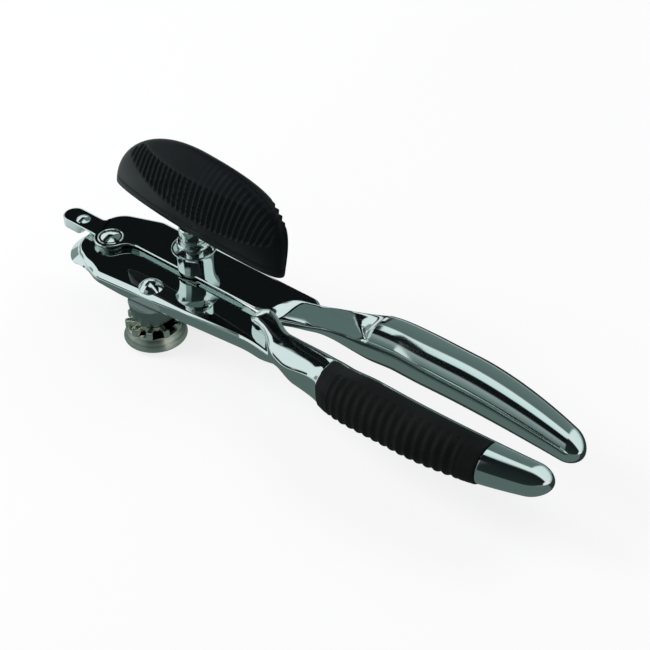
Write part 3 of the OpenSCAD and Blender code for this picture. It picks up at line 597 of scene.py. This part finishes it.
class OPENER_OT_plates(bpy.types.Operator):
    """Makes the two pressed plates with rolled edges, flanges and the bottle-opener lip"""
    bl_idname = "opener.plates"
    bl_label = "Plates"

    def execute(self, context):
        self.lower(sizes("plate"))
        self.upper(sizes("plate"))
        return {"FINISHED"}

    def lower(self, plate):
        """The flange hangs from the near edge and, flared, from the left end, and fades between them."""
        low, high = node_box("lower_plate")
        under = high[2] - THICKNESS
        outline = lower_outline()
        x, y = outline.T
        bearing = np.degrees(np.arctan2(y - LEFT_END[1], x - LEFT_END[0])) % 360
        left = ramp(bearing, 168, 182) * ramp(bearing, 290, 245) * (x < 0)
        near = ramp(y, -10.5, -13) * ramp(x, 54, 40) * ramp(x, LEFT_END[0] - 7, LEFT_END[0] + 4)
        grown = 0.55 + 0.45 * ramp(x, -28, -12)
        deep = (under - low[2]) * np.maximum(near * grown, 0.55 * left)
        wide = 1 - 0.75 * ramp(x, -2, 12)
        rolled = 0.5 + (plate.lower_edge - 0.5) * np.maximum(near, left) * (1 - 0.45 * left) * wide
        levels = plate_levels(under, high[2], rolled, plate.wall, deep, plate.flare * left, len(outline))
        tube("lower plate", rings_at(outline, levels), "plate_chrome", "lower_arm")

    def upper(self, plate):
        """The edge leans in under the plate all round, apart from the ear's turned-down lip."""
        top, foot = plate_face(), node_box("upper_plate")[0][2]
        under = top - THICKNESS
        outline = upper_outline()
        x, y = outline.T
        lip = ramp(x, PIVOT[0] - 12, PIVOT[0] - 12.8) * ramp(y, PIVOT[1] + 3.5, PIVOT[1] + 0.5)
        leaning = -plate.undercut * (1 - lip) * (1 - 0.6 * ramp(x, 22, 28))
        levels = plate_levels(under, top, plate.upper_edge, plate.wall, (under - foot) * lip, leaning,
                              len(outline))
        tube("upper plate", rings_at(outline, levels), "plate_chrome", "upper_arm")
        radius, height = 2.5, 0.7
        bump = np.concatenate([[(radius, top - 0.1)], dome_profile(radius, top - 0.02, height)])
        turned("ear bump", bump, PIVOT + [-14.4, 1.3], "plate_chrome", "upper_arm", nodes=())


# ---- handles

def lower_spine(h, x):
    """The lower handle at stations x: its middle, half width, half height above and below, and height.

    It is narrow at the nose and the neck and swells to the belly, first downwards and then upwards.
    """
    filled = along(x, [(41, 0.0), (53, 0.9), (67, -1.3), (84, 0.0)])
    middle = along(x, [(36, 3.0), (h.neck_x, h.neck_off), (h.belly_start, h.belly_off)]) + filled
    half_w = along(x, [(36, h.nose_half), (h.neck_x, h.neck_half + 0.5),
                       (h.belly_start - 5, h.belly_half)]) + filled
    neck = 0.95 * h.neck_height
    above = along(x, [(66, neck), (h.belly_start + 6, h.belly_height)])
    below = along(x, [(50, neck), (67, h.belly_height + 0.6), (84, h.belly_height)])
    mid_z = plate_face() - h.neck_drop * (1 - ramp(x, h.neck_x, h.belly_start))
    return middle, half_w, above, below, mid_z


def upper_spine(h, x):
    """The upper handle at stations x, in the same terms: a thin flat neck and a shoulder to the belly."""
    middle = along(x, [(28, 2.6), (h.belly_start, h.belly_off + h.spread)])
    half_w = along(x, [(52, 5.3), (76, 7.6), (90, h.belly_half)])
    floor = along(x, [(52, h.neck_floor), (h.shoulder_x + 2, -h.belly_height)])
    roof = along(x, [(48, h.neck_roof), (h.shoulder_x + 3, h.belly_height)])
    half_h = (roof - floor) / 2
    return middle, half_w, half_h, half_h, plate_face() + (roof + floor) / 2


def section_power(h, side, x, c, s):
    """Power of the sections' superellipse, from about 0.4 where they are boxy to 1 where they are round.

    c and s are the cosine and sine of the section angle. The lower neck has a slanting face on its upper
    outer side, and an upright one under it that stays boxy as far as the grip.
    """
    boxy, rounder = 0.4, ramp(x, h.neck_x, h.belly_start - 6)
    if side < 0:
        boxy = 0.55 + 0.8 * ramp(x, 41, 56) * ramp(c, 1 / 3, -1 / 3)
        under = (s < 0) * (c < 0)
        boxy = np.where(under, boxy + (0.4 - boxy) * ramp(x, 48, 58), boxy)
        rounder = np.where(under, ramp(x, 62, 84), rounder)
    return boxy + (0.9 - boxy) * rounder + 0.1 * ramp(x, h.belly_start, h.belly_end)


def upper_cuts(h, x, z, across, start):
    """The upper handle's z under its flat neck top and its nose facet, and how far it has risen there.

    The neck's top is held flat as far as a scoop, longest on the outer side, that rises to the shoulder.
    """
    flat = plate_face() + h.neck_roof
    ramp_start = h.shoulder_x - h.scoop * np.clip(0.55 - 0.55 * across, 0.1, 1)
    rise = np.clip((x - ramp_start) / (h.shoulder_x - ramp_start), 0, 1)
    z = np.where(x < h.shoulder_x, np.minimum(z, flat * (1 - rise) + z * rise), z)
    facet = start + h.nose_facet - 2.0 * across
    return np.minimum(z, flat - math.tan(math.radians(h.nose_slope)) * (facet - x)), rise


def handle_surface(side, x, angle, grow=0.0):
    """Points of a handle at stations x and section angles, where angle 0 faces the other handle.

    Each section is a superellipse: a power of the cosine across and of the sine up. Its sizes come from
    the handle's spine, shrink like a circle at the nose and the tip, and fall off from the belly to the
    tip. Its top is tilted on the neck. grow moves the surface out, and may vary over the grid. side is 1
    for the upper handle and -1 for the lower one.
    """
    h = sizes("handle")
    low, high = node_box("upper_handle" if side > 0 else "lower_handle")
    start, tip = low[0], high[0]
    x = np.asarray(x, float)[:, None]
    c, s = np.cos(angle)[None, :], np.sin(angle)[None, :]
    middle, half_w, above, below, mid_z = (upper_spine if side > 0 else lower_spine)(h, x)
    fall = np.clip((x - h.belly_end) / (tip - h.belly_end), 0, 1) ** h.fall
    middle = middle + (h.tip_off - h.belly_off) * fall
    half_w = half_w + (h.tip_half - h.belly_half) * fall
    half_h = np.where(s < 0, below, above) + (h.tip_height - h.belly_height) * fall
    nose = np.clip((x - start) / h.nose_round, 0, 1)
    end = np.clip((tip - x) / h.tip_round, 0, 1)
    scale = np.maximum(0.02, np.sqrt(1 - (1 - nose) ** 2) * np.sqrt(1 - (1 - end) ** 2))
    power = section_power(h, side, x, c, s)
    across = np.sign(c) * np.abs(c) ** power
    up = np.sign(s) * np.abs(s) ** power
    if side < 0:
        across = across * (1 - 0.3 * (1 - up) * (c < 0) * (1 - ramp(x, 40, 47)))
    z = mid_z + (half_h * scale + grow) * up
    if side > 0:
        z, rise = upper_cuts(h, x, z, across, start)
        tilt = h.neck_tilt * (1 - rise) * (1 - ramp(x, 66, 74)) * ramp(x, 35, 39)
    else:
        tilt = 6 * ramp(x, 37, 45) * ramp(x, 76, 70)
    z = z - np.tan(np.radians(tilt)) * half_w * scale * across * side * np.maximum(0, up)
    y = h.pair_y + side * (middle - (half_w * scale + grow) * across)
    if side > 0:
        x = x + 1.7 * (1 + across) * (1 - ramp(x, start, start + 13))
    return np.stack([np.broadcast_to(x, y.shape), y, z], -1)


def handle_stations(low, high, fine=()):
    """Stations along a handle, close together at its round ends and round each place in fine."""
    ends = 1 - np.cos(np.linspace(0, math.pi / 2, 16))
    parts = [low + 4.0 * ends + 0.01, np.linspace(low + 4.0, high - 6.0, 130), high - 6.0 * ends - 0.01]
    parts += [np.linspace(a, b, 24) for a, b in fine]
    return np.unique(np.round(np.concatenate(parts), 3))


class OPENER_OT_handles(bpy.types.Operator):
    """Makes the two cast handles, with the seat of the grip let into the lower one"""
    bl_idname = "opener.handles"
    bl_label = "Handles"

    def execute(self, context):
        h, grip = sizes("handle"), sizes("grip")
        around = np.arange(112) * TURN / 112
        low, high = node_box("upper_handle")
        x = handle_stations(low[0], high[0], [(h.shoulder_x - 0.6, h.shoulder_x + 0.6)])
        tube("upper handle", handle_surface(1, x, around), "handle_chrome", "upper_arm")
        low, high = node_box("lower_handle")
        start, stop = node_box("handle_grip")[0][0], node_box("handle_grip")[1][0]
        step, gap = 0.3, 0.05
        x = handle_stations(low[0], high[0], [(start - step, start), (stop, stop + step)])
        bare = math.radians(grip.bare)
        seat = ramp(x, start - step, start) * ramp(x, stop + step, stop)
        covered = ramp(np.minimum(around, TURN - around), bare - 0.05, bare)
        sunk = -(grip.depth + gap) * seat[:, None] * covered[None, :]
        tube("lower handle", handle_surface(-1, x, around, sunk), "handle_chrome", "lower_arm")
        return {"FINISHED"}


class OPENER_OT_grip(bpy.types.Operator):
    """Makes the ribbed rubber sleeve, open along the side that faces the other handle"""
    bl_idname = "opener.grip"
    bl_label = "Grip"

    def execute(self, context):
        grip = sizes("grip")
        low, high = node_box("handle_grip")
        start, stop = low[0], high[0]
        edge = 0.6
        ends = edge * (1 - np.cos(np.linspace(0, math.pi / 2, 6)))
        plain = np.linspace(start + edge, stop - edge, 260)
        x = np.unique(np.concatenate([start + ends, plain, stop - ends]))
        bare = math.radians(grip.bare)
        t = np.linspace(0, 1, 90)
        angle = bare + (TURN - 2 * bare) * t
        near_end = np.clip(np.minimum(x - start, stop - x) / edge, 0, 1)[:, None]
        near_side = np.clip(np.minimum(t, 1 - t) / 0.02, 0, 1)[None, :]
        rounding = np.sqrt(1 - (1 - near_end) ** 2) * np.sqrt(1 - (1 - near_side) ** 2)
        first, last = start + grip.margin, stop - grip.margin
        panel = ramp(x, first, first + 1.5) * ramp(x, last, last - 1.5)
        side = ramp(t, 0.13, 0.19) * ramp(t, 0.87, 0.81)
        bow = 1.2 * (2 * t - 1)[None, :] ** 2
        valley = 0.5 - 0.5 * np.cos(TURN * (x[:, None] - start + bow) * grip.ribs / (last - first))
        outer = 0.1 + (grip.proud - 0.1) * rounding - 0.9 * (1 - rounding)
        outer = outer - grip.rib_depth * valley * panel[:, None] * side[None, :]
        upper = handle_surface(-1, x, angle, outer)
        lower = handle_surface(-1, x, angle[::-1], -grip.depth)
        tube("handle grip", np.concatenate([upper, lower], 1), "grip_rubber", "lower_arm")
        return {"FINISHED"}


# ---- knob

def knob_surface(height, angle, top, inner=0.0, ribs=0.0):
    """Points of the knob at heights above its base and at angles of its lens-shaped plan.

    The plan's half thickness falls from the middle to blunt ends; the thickness grows from the base and
    rounds over at the crown; the length shrinks more at the back than at the front; the crown leans.
    ribs is the depth of waves along the length that fade at the ends and towards the base.
    """
    k = sizes("knob")
    h = np.asarray(height, float)[:, None]
    s = np.cos(angle)[None, :]
    side = np.sign(np.sin(angle))[None, :]
    share = h / top
    shrink = np.sqrt(np.maximum(0, 1 - share ** np.where(s < 0, 1.9, 4.4)))
    full = k.base_share + (1 - k.base_share) * np.sin(math.pi / 2 * np.minimum(1, share / 0.5))
    wall = 1 - 0.1 * share ** 3
    roof = 0.96 * np.maximum(0, (1 - share) / (1 - k.crease)) ** 0.62
    full = full * (wall ** -9 + np.maximum(0.01, roof) ** -9) ** (-1 / 9)
    blunt = np.where(s < 0, 0.5 * k.end_width, k.end_width)
    plan = (blunt + (k.half_width - blunt) * (1 - s * s)) * np.sqrt(1 - s ** 12)
    x = np.maximum(0.3, k.half_length * shrink - inner) * s
    y = side * np.maximum(0.02, full - inner / k.half_width) * plan
    if ribs:
        across = (x - 8) / 30
        pitch = 1.46 * k.half_length / k.ribs
        slant = (0.2 + 0.00015 * x ** 2) * (h - 16)
        wave = np.maximum(1e-6, 0.5 - 0.5 * np.cos(TURN * (x - slant) / pitch)) ** 0.6
        foot = 7.6 + 6 * across ** 2
        fade = ramp(s, -0.975, -0.925) * ramp(x, 36.5, 34.5) * ramp(h, foot, foot + 1.6)
        above = ramp(share, k.crease - 0.02, k.crease + 0.04)
        fade = fade * (1 - above * (1 - 0.5 * (side < 0) * ramp(x, 0, 22)))
        depth = ribs * wave * fade
        y = y - side * np.minimum(depth * (1 - 0.7 * above), np.abs(y) * 0.8)
        h = h - depth * above * 0.8
    x = k.shift + x + h * math.tan(math.radians(k.lean))
    c, n = math.cos(math.radians(k.angle)), math.sin(math.radians(k.angle))
    base = node_box("knob_core")[0][2]
    return np.stack([AXLE[0] + c * x - n * y, AXLE[1] + n * x + c * y,
                     np.broadcast_to(base + h, x.shape)], -1)


class OPENER_OT_knob(bpy.types.Operator):
    """Makes the knob: a plain band at the base and a ribbed cover"""
    bl_idname = "opener.knob"
    bl_label = "Knob"

    def execute(self, context):
        k = sizes("knob")
        top = node_box("knob_cover")[1][2] - node_box("knob_core")[0][2]
        angle = (np.arange(720) + 0.5) * TURN / 720
        angle = angle - 0.22 * np.sin(2 * angle)
        foot_z, crown_z = k.band + 0.25, top - 0.06
        rise = foot_z + (crown_z - foot_z) * np.sin(np.linspace(0, math.pi / 2, 120))
        outer = knob_surface(rise, angle, top, ribs=k.rib_depth)
        foot = knob_surface([k.band + 0.05, k.band + 0.1], angle, top, inner=0.5)
        foot[1] = knob_surface([k.band + 0.08], angle, top, inner=0.12)[0]
        tube("knob cover", np.concatenate([foot, outer]), "knob_rubber", "drive", sharp=60.0)
        levels = [(0.0, 0.8), (0.1, 0.45), (0.35, 0.15), (0.8, 0.0), (k.band * 0.5, 0.0),
                  (k.band - 0.25, 0.0), (k.band, 0.25), (k.band + 0.02, 0.8)]
        coarse = (np.arange(240) + 0.5) * TURN / 240
        band = np.concatenate([knob_surface([z], coarse, top, inner=inset_by) for z, inset_by in levels])
        tube("knob band", band, "knob_band", "drive", nodes=["knob_core"], sharp=50.0)
        return {"FINISHED"}


# ---- pivot, cutter and axle

TEETH = 10


def gear_outline(teeth, root, tip, centre, phase):
    """A gear's plan: broad teeth whose flanks follow a smooth wave between root and tip radius."""
    t = np.arange(teeth * 40) * TURN / (teeth * 40)
    wave = np.cos(teeth * (t - phase))
    height = 0.5 + 0.5 * np.tanh(3.2 * (wave - 0.12)) / np.tanh(2.8)
    r = root + (tip - root) * np.clip(height, 0, 1)
    return np.stack([centre[0] + r * np.cos(t), centre[1] + r * np.sin(t)], -1)


def washer(name, bore):
    """A flat steel ring with bevelled edges that fills its CAD node's box."""
    low, high = node_box(name.replace(" ", "_"))
    centre, outer, bevel = ((low + high) / 2)[:2], (high - low)[0] / 2, 0.15
    profile = [(bore, low[2]), (outer - bevel, low[2]), (outer, low[2] + bevel),
               (outer, high[2] - bevel), (outer - bevel, high[2]), (bore, high[2])]
    turned(name, profile, centre, "small_steel", "lower_arm", wrap_rows=True)


class OPENER_OT_pivot(bpy.types.Operator):
    """Makes the domed pivot rivet in its ring, and the washer between the plates"""
    bl_idname = "opener.pivot"
    bl_label = "Pivot"

    def execute(self, context):
        low, high = node_box("pivot_rivet")
        radius, foot, shank = 3.7, 1.2, 2.5
        top = plate_face()
        profile = [(0.02, low[2]), (radius - 0.3, low[2]), (radius, low[2] + 0.3), (radius, low[2] + foot),
                   (shank, low[2] + foot), (shank, top - 0.3), (radius, top - 0.3)]
        profile = np.concatenate([profile, dome_profile(radius, top - 0.2, 0.6 * (high[2] - top) + 0.2)])
        turned("pivot rivet", profile, PIVOT, "rivet_chrome", "lower_arm")
        ring = [(3.85, top - 0.1), (3.9, top + 0.05), (4.1, top + 0.13), (4.35, top + 0.06),
                (4.5, top - 0.1)]
        turned("pivot ring", ring, PIVOT, "plate_chrome", "upper_arm", nodes=(), wrap_rows=True)
        washer("pivot washer", shank + 0.05)
        return {"FINISHED"}


class OPENER_OT_cutter(bpy.types.Operator):
    """Makes the cutter stud, spacer, both gears and the bevelled cutter wheel"""
    bl_idname = "opener.cutter"
    bl_label = "Cutter"

    def execute(self, context):
        low, high = node_box("cutter_stud")
        plate_top = node_box("lower_plate")[1][2]
        head, foot_radius, foot, shank = 4.1, 3.8, 1.4, 2.6
        profile = [(0.02, low[2]), (foot_radius - 0.3, low[2]), (foot_radius, low[2] + 0.3),
                   (foot_radius, low[2] + foot - 0.2), (foot_radius - 0.2, low[2] + foot),
                   (shank, low[2] + foot), (shank, plate_top - 0.2), (head, plate_top - 0.2),
                   (head, plate_top)]
        profile = np.concatenate([profile, dome_profile(head, plate_top, high[2] - plate_top)])
        turned("cutter stud", profile, STUD, "rivet_chrome", "lower_arm")
        washer("cutter spacer", shank + 0.05)
        low, high = node_box("cutter_wheel")
        edge, cone = (high - low)[0] / 2, 8.6
        profile = [(0.02, low[2]), (edge - 0.8, low[2]), (edge - 0.25, low[2] + 0.05),
                   (edge - 0.05, low[2] + 0.25), (edge, low[2] + 0.45), (edge - 0.04, low[2] + 0.65),
                   (cone + 0.15, high[2] - 0.15), (cone - 0.15, high[2]), (shank + 0.1, high[2]),
                   (0.02, high[2])]
        turned("cutter wheel", profile, STUD, "cutter_steel", "cutter", 128)
        toward = math.atan2(*(STUD - AXLE)[::-1])
        half_pitch = math.pi / TEETH
        self.gear("cutter", STUD, toward + math.pi + half_pitch)
        self.gear("drive", AXLE, toward)
        return {"FINISHED"}

    def gear(self, body, centre, phase):
        """One gear with bevelled edges, in mesh along the line between the two shafts."""
        low, high = node_box(body + "_gear")
        root, tip, b = 6.4, 9.6, 0.5
        outline = gear_outline(TEETH, root, tip, centre, phase)
        levels = [(b, low[2]), (0.3 * b, low[2] + 0.3 * b), (0, low[2] + b), (0, high[2] - b),
                  (0.3 * b, high[2] - 0.3 * b), (b, high[2]), (b + 0.3, high[2])]
        tube(body + " gear", rings_at(outline, levels), "gear_nickel", body)


class OPENER_OT_axle(bpy.types.Operator):
    """Makes the bush with its flared cup and the turning axle with its collar and grooved ferrule"""
    bl_idname = "opener.axle"
    bl_label = "Axle"

    def execute(self, context):
        low, high = node_box("axle_bush")
        rim, foot, bore, bush = (high - low)[0] / 2, 5.9, 2.95, 4.2
        cup = high[2] - CUP_HEIGHT
        t = np.linspace(0, 1, 18)
        flare = np.stack([foot + (rim - foot) * t ** 3, cup + (CUP_HEIGHT - 0.2) * t], -1)
        quarter = np.radians(np.linspace(0, 90, 5))
        lip = np.stack([rim - 0.2 + 0.2 * np.cos(quarter), high[2] - 0.2 + 0.2 * np.sin(quarter)], -1)
        profile = np.concatenate([[(bore, low[2]), (bush, low[2]), (bush, cup - 0.1), (foot, cup - 0.1)],
                                  flare, lip, [(rim - 0.7, high[2]), (rim - 1.5, high[2] - 2.5),
                                               (bore, high[2] - 2.5)]])
        turned("axle bush", profile, AXLE, "rivet_chrome", "upper_arm", wrap_rows=True)
        low, high = node_box("drive_axle")
        stem, ferrule_height, collar_height = 17.0, 5.8, 1.2
        knob_z = high[2] - stem
        collar_z = knob_z - ferrule_height - collar_height
        shaft, collar, ferrule, groove = 2.9, 5.4, 4.6, 4.0
        profile = [(0.02, low[2]), (2.2, low[2] + 0.2), (2.2, low[2] + 3.5), (shaft, low[2] + 3.6),
                   (shaft, collar_z), (collar - 0.25, collar_z), (collar, collar_z + 0.25),
                   (collar, collar_z + 0.95), (collar - 0.25, collar_z + 1.2), (ferrule, collar_z + 1.25),
                   (ferrule, collar_z + 1.7), (groove, collar_z + 1.85), (groove, collar_z + 2.4),
                   (ferrule - 0.1, collar_z + 2.6), (ferrule, collar_z + 2.75), (ferrule, knob_z - 0.4),
                   (ferrule - 0.3, knob_z), (0.02, knob_z)]
        turned("drive axle", profile, AXLE, "rivet_chrome", "drive")
        return {"FINISHED"}


# ---- studio

TUNNEL_RADIUS = 900.0
WHITE = (0.9, 1.0, 1.0)
BLACK = (0.006, 0.008, 0.008)
NEAR_BLACK = (0.02, 0.03, 0.03)
DIM = (0.03, 0.04, 0.04)

# The tunnel's glow over each part of the tool, which paints the reflections seen on that part. Each stop is
# an angle about the tool's length and a colour, where 0 is level behind, 90 straight up and 180 level in
# front.
OVER_TIPS = [(0, (0.35, 0.42, 0.41)), (10, (0.16, 0.22, 0.21)), (68, (0.12, 0.18, 0.17)), (73, WHITE),
             (98, (0.75, 0.95, 0.95)), (102, BLACK), (127, BLACK), (134, (0.33, 0.4, 0.39)),
             (158, (0.16, 0.23, 0.22)), (180, (0.1, 0.15, 0.14))]
OVER_NECKS = [(0, (0.1, 0.13, 0.13)), (20, (0.07, 0.09, 0.09)), (27, BLACK), (56, BLACK),
              (60, (0.14, 0.2, 0.19)), (104, (0.17, 0.24, 0.23)), (108, WHITE), (167, WHITE),
              (171, NEAR_BLACK), (180, DIM)]
OVER_PLATES = [(0, DIM), (14, DIM), (18, WHITE), (42.5, WHITE), (44.5, BLACK), (102, BLACK), (108, WHITE),
               (160, WHITE), (165, NEAR_BLACK), (180, DIM)]
OVER_LEFT = [(0, NEAR_BLACK), (8, NEAR_BLACK), (12, WHITE), (180, WHITE)]
OVER_RIGHT = [(0, (0.2, 0.27, 0.26)), (24, (0.8, 0.95, 0.95)), (90, WHITE), (98, (0.01, 0.013, 0.013)),
              (180, NEAR_BLACK)]
# The tunnel's zones from left to right: where each one starts and has taken over, in metres.
FAR_LEFT = (0.25, 0.33, 0.31, 1.0)
ZONES = [(-2.3, -2.2, OVER_LEFT), (-0.97, -0.94, OVER_PLATES), (-0.515, -0.505, OVER_NECKS),
         (-0.452, -0.444, OVER_TIPS), (0.0, 0.1, OVER_RIGHT)]


def glow_sheet(name, points, faces):
    """A sheet that only reflections see, with its empty shader tree."""
    mesh = bpy.data.meshes.new(name)
    mesh.from_pydata((np.asarray(points, float).reshape(-1, 3) * MM).tolist(), [], faces)
    material = bpy.data.materials.new(name)
    material.use_nodes = True
    tree = material.node_tree
    tree.nodes.clear()
    mesh.materials.append(material)
    sheet = add_object(name, mesh)
    sheet.visible_camera = sheet.visible_diffuse = sheet.visible_shadow = False
    sheet.visible_transmission = sheet.visible_volume_scatter = False
    return tree


def shine(tree, tone):
    """Ends a tree with light of one tone."""
    glow = node(tree, "Emission", {"Color": tone})
    tree.links.new(glow.outputs[0], node(tree, "OutputMaterial").inputs[0])


def angle_ramp(tree, share, stops):
    """A colour ramp over half a turn from stops (angle in degrees, colour)."""
    blend = node(tree, "ValToRGB", {"Fac": share})
    while len(blend.color_ramp.elements) < len(stops):
        blend.color_ramp.elements.new(0.5)
    for element, (angle, tone) in zip(blend.color_ramp.elements, stops):
        element.position = angle / 180
        element.color = (*tone, 1.0)
    return blend.outputs[0]


def soft_light(name, bearing, height, power):
    """A large soft lamp over the middle of the tool that reflections don't see."""
    aim, distance, size = Vector((50.0, -5.0, 22.0)), 900.0, 500.0
    a, e = math.radians(bearing), math.radians(height)
    to = Vector((math.sin(a) * math.cos(e), -math.cos(a) * math.cos(e), math.sin(e)))
    lamp = bpy.data.lights.new(name, "AREA")
    lamp.shape, lamp.size, lamp.energy = "DISK", size * MM, power
    holder = add_object(name, lamp)
    holder.location = aim * MM + to * distance * MM
    holder.rotation_euler = to.to_track_quat("Z", "Y").to_euler()
    holder.visible_glossy = False


def white_to_view(tree, plain, white, strength=1.0):
    """Mixes a plain shader with a white one wherever the camera, a mirror or glass looks at it."""
    path = node(tree, "LightPath").outputs
    seen = maths(tree, "MAXIMUM", path["Is Camera Ray"], path["Is Glossy Ray"])
    seen = maths(tree, "MAXIMUM", seen, path["Is Transmission Ray"])
    share = maths(tree, "MULTIPLY", seen, strength)
    return node(tree, "MixShader", {0: share, 1: plain.outputs[0], 2: white.outputs[0]}).outputs[0]


class OPENER_OT_studio(bpy.types.Operator):
    """Makes the floor, the even light, the soft lamps, the cards and the camera"""
    bl_idname = "opener.studio"
    bl_label = "Studio"

    def execute(self, context):
        level = sizes("studio")
        self.world(level)
        self.floor()
        soft_light("key light", -60.0, 38.0, level.key)
        soft_light("back light", 160.0, 50.0, level.key * 0.35)
        self.tunnel()
        self.mirror_glow_sheets()
        self.camera()
        return {"FINISHED"}

    def tunnel(self):
        """A half round of long strips over the tool, lengthwise, seen only in mirrors.

        Its point at angle t and length x is (x, R cos t, R sin t).
        """
        steps = 90
        t = np.radians(np.linspace(-0.01, 180.01, steps + 1))[:, None]
        x, y, z = np.broadcast_arrays(np.array([[-9000.0, 3000.0]]), TUNNEL_RADIUS * np.cos(t),
                                      TUNNEL_RADIUS * np.sin(t))
        first = np.arange(steps) * 2
        faces = np.stack([first, first + 1, first + 3, first + 2], -1).tolist()
        tree = glow_sheet("light tunnel", np.stack([x, y, z], -1), faces)
        x, y, z = node(tree, "SeparateXYZ", {0: here(tree)}).outputs
        share = maths(tree, "DIVIDE", maths(tree, "ARCTAN2", z, y), math.pi)
        # the belly's white streak starts as a point, because a black wedge covers its left end
        limit = remap(tree, x, -0.4, -0.31, 73 / 180, 103 / 180)
        wedge = maths(tree, "MULTIPLY", maths(tree, "GREATER_THAN", share, limit),
                      maths(tree, "LESS_THAN", share, 115 / 180))
        skew = maths(tree, "MULTIPLY_ADD", y, 0.04, x)
        mixed = FAR_LEFT
        for start, end, stops in ZONES:
            tones = angle_ramp(tree, share, stops)
            if stops is OVER_TIPS:
                tones = mix_colours(tree, wedge, tones, (*BLACK, 1.0))
            mixed = mix_colours(tree, remap(tree, skew, start, end), mixed, tones)
        shine(tree, mixed)

    def mirror_glow_sheets(self):
        """Two glowing grey-green sheets lying on the floor in front of and behind the tool, seen only in
        mirrors: painted reflections of a table, lighter to the left of the tool.
        """
        level = cad_box[0][2] / MM - 0.1
        for name, y_low, y_high, tone in (("front cloth", -900.0, 0.0, (0.12, 0.17, 0.16)),
                                          ("back cloth", 0.0, 900.0, (0.03, 0.042, 0.04))):
            points = [(x, y, level) for x, y in ((-900, y_low), (900, y_low), (900, y_high), (-900, y_high))]
            tree = glow_sheet(name, points, [(0, 1, 2, 3)])
            x = node(tree, "SeparateXYZ", {0: here(tree)}).outputs[0]
            # painted reflection: each sheet glows pale to the left of the tool and fades to its own tone
            blend = remap(tree, x, -0.085, -0.04)
            shine(tree, mix_colours(tree, blend, (0.75, 0.85, 0.84, 1.0), (*tone, 1.0)))

    def world(self, level):
        """Even pale light, white to the camera and in mirrors."""
        world = bpy.data.worlds.new("studio")
        bpy.context.scene.world = world
        world.use_nodes = True
        tree = world.node_tree
        tree.nodes.clear()
        plain, white = [node(tree, "Background", {"Color": (1.0, 1.0, 1.0, 1.0), "Strength": strength})
                        for strength in (level.fill, 1.0)]
        tree.links.new(white_to_view(tree, plain, white), node(tree, "OutputWorld").inputs[0])

    def floor(self):
        """A wide pale floor just under the lowest face."""
        half, under = 6000.0 * MM, cad_box[0][2] - 0.2 * MM
        mesh = bpy.data.meshes.new("floor")
        corners = ((-half, -half), (half, -half), (half, half), (-half, half))
        mesh.from_pydata([(x, y, under) for x, y in corners], [], [(0, 1, 2, 3)])
        material, tree, shader = blank_material("floor", Base_Color=(0.85, 0.86, 0.86, 1.0), Roughness=0.9)
        white = node(tree, "Emission", {"Color": (1.0, 1.0, 1.0, 1.0), "Strength": 1.0})
        tree.links.new(white_to_view(tree, shader, white, 0.8), tree.nodes["Material Output"].inputs[0])
        mesh.materials.append(material)
        add_object("floor", mesh)

    def camera(self):
        """A long lens above the near right side, rolled a little."""
        bearing, height, roll = math.radians(40.75), math.radians(39.34), math.radians(-1.42)
        to = Vector((math.sin(bearing) * math.cos(height), -math.cos(bearing) * math.cos(height),
                     math.sin(height)))
        level_right = Vector((math.cos(bearing), math.sin(bearing), 0.0))
        level_up = to.cross(level_right)
        right = level_right * math.cos(roll) + level_up * math.sin(roll)
        up = to.cross(right)
        view = bpy.data.cameras.new("camera")
        view.lens, view.sensor_width = 89.45, 36.0
        view.clip_start, view.clip_end = 0.01, 50.0
        holder = add_object("camera", view)
        aim, distance = Vector((52.5, 2.67, 23.0)), 500.0
        turned_to = Matrix((right, up, to)).transposed().to_4x4()
        holder.matrix_world = Matrix.Translation(aim * MM + to * distance * MM) @ turned_to
        bpy.context.scene.camera = holder


# ---- add-on

OPERATORS = (OPENER_OT_finishes, OPENER_OT_plates, OPENER_OT_handles, OPENER_OT_grip, OPENER_OT_knob,
             OPENER_OT_pivot, OPENER_OT_cutter, OPENER_OT_axle, OPENER_OT_studio)


class OPENER_PT_panel(bpy.types.Panel):
    """Lists the steps of the can opener"""
    bl_idname = "OPENER_PT_panel"
    bl_label = "Can Opener"
    bl_space_type = "VIEW_3D"
    bl_region_type = "UI"
    bl_category = "Can Opener"

    def draw(self, context):
        for operator in OPERATORS:
            self.layout.operator(operator.bl_idname)


def register():
    """Adds the classes and the property groups to Blender."""
    for kind in (*GROUPS.values(), *OPERATORS, OPENER_PT_panel):
        bpy.utils.register_class(kind)
    for name, kind in GROUPS.items():
        setattr(bpy.types.Scene, "opener_" + name, bpy.props.PointerProperty(type=kind))


def unregister():
    """Takes them away again."""
    for name in GROUPS:
        delattr(bpy.types.Scene, "opener_" + name)
    for kind in (OPENER_PT_panel, *reversed(OPERATORS), *GROUPS.values()):
        bpy.utils.unregister_class(kind)


def main():
    """Registers the add-on, builds everything in order and sets the plain view transform."""
    register()
    for operator in OPERATORS:
        getattr(bpy.ops.opener, operator.bl_idname.split(".")[1])()
    bpy.context.scene.view_settings.view_transform = "Standard"


if __name__ == "__main__":
    main()
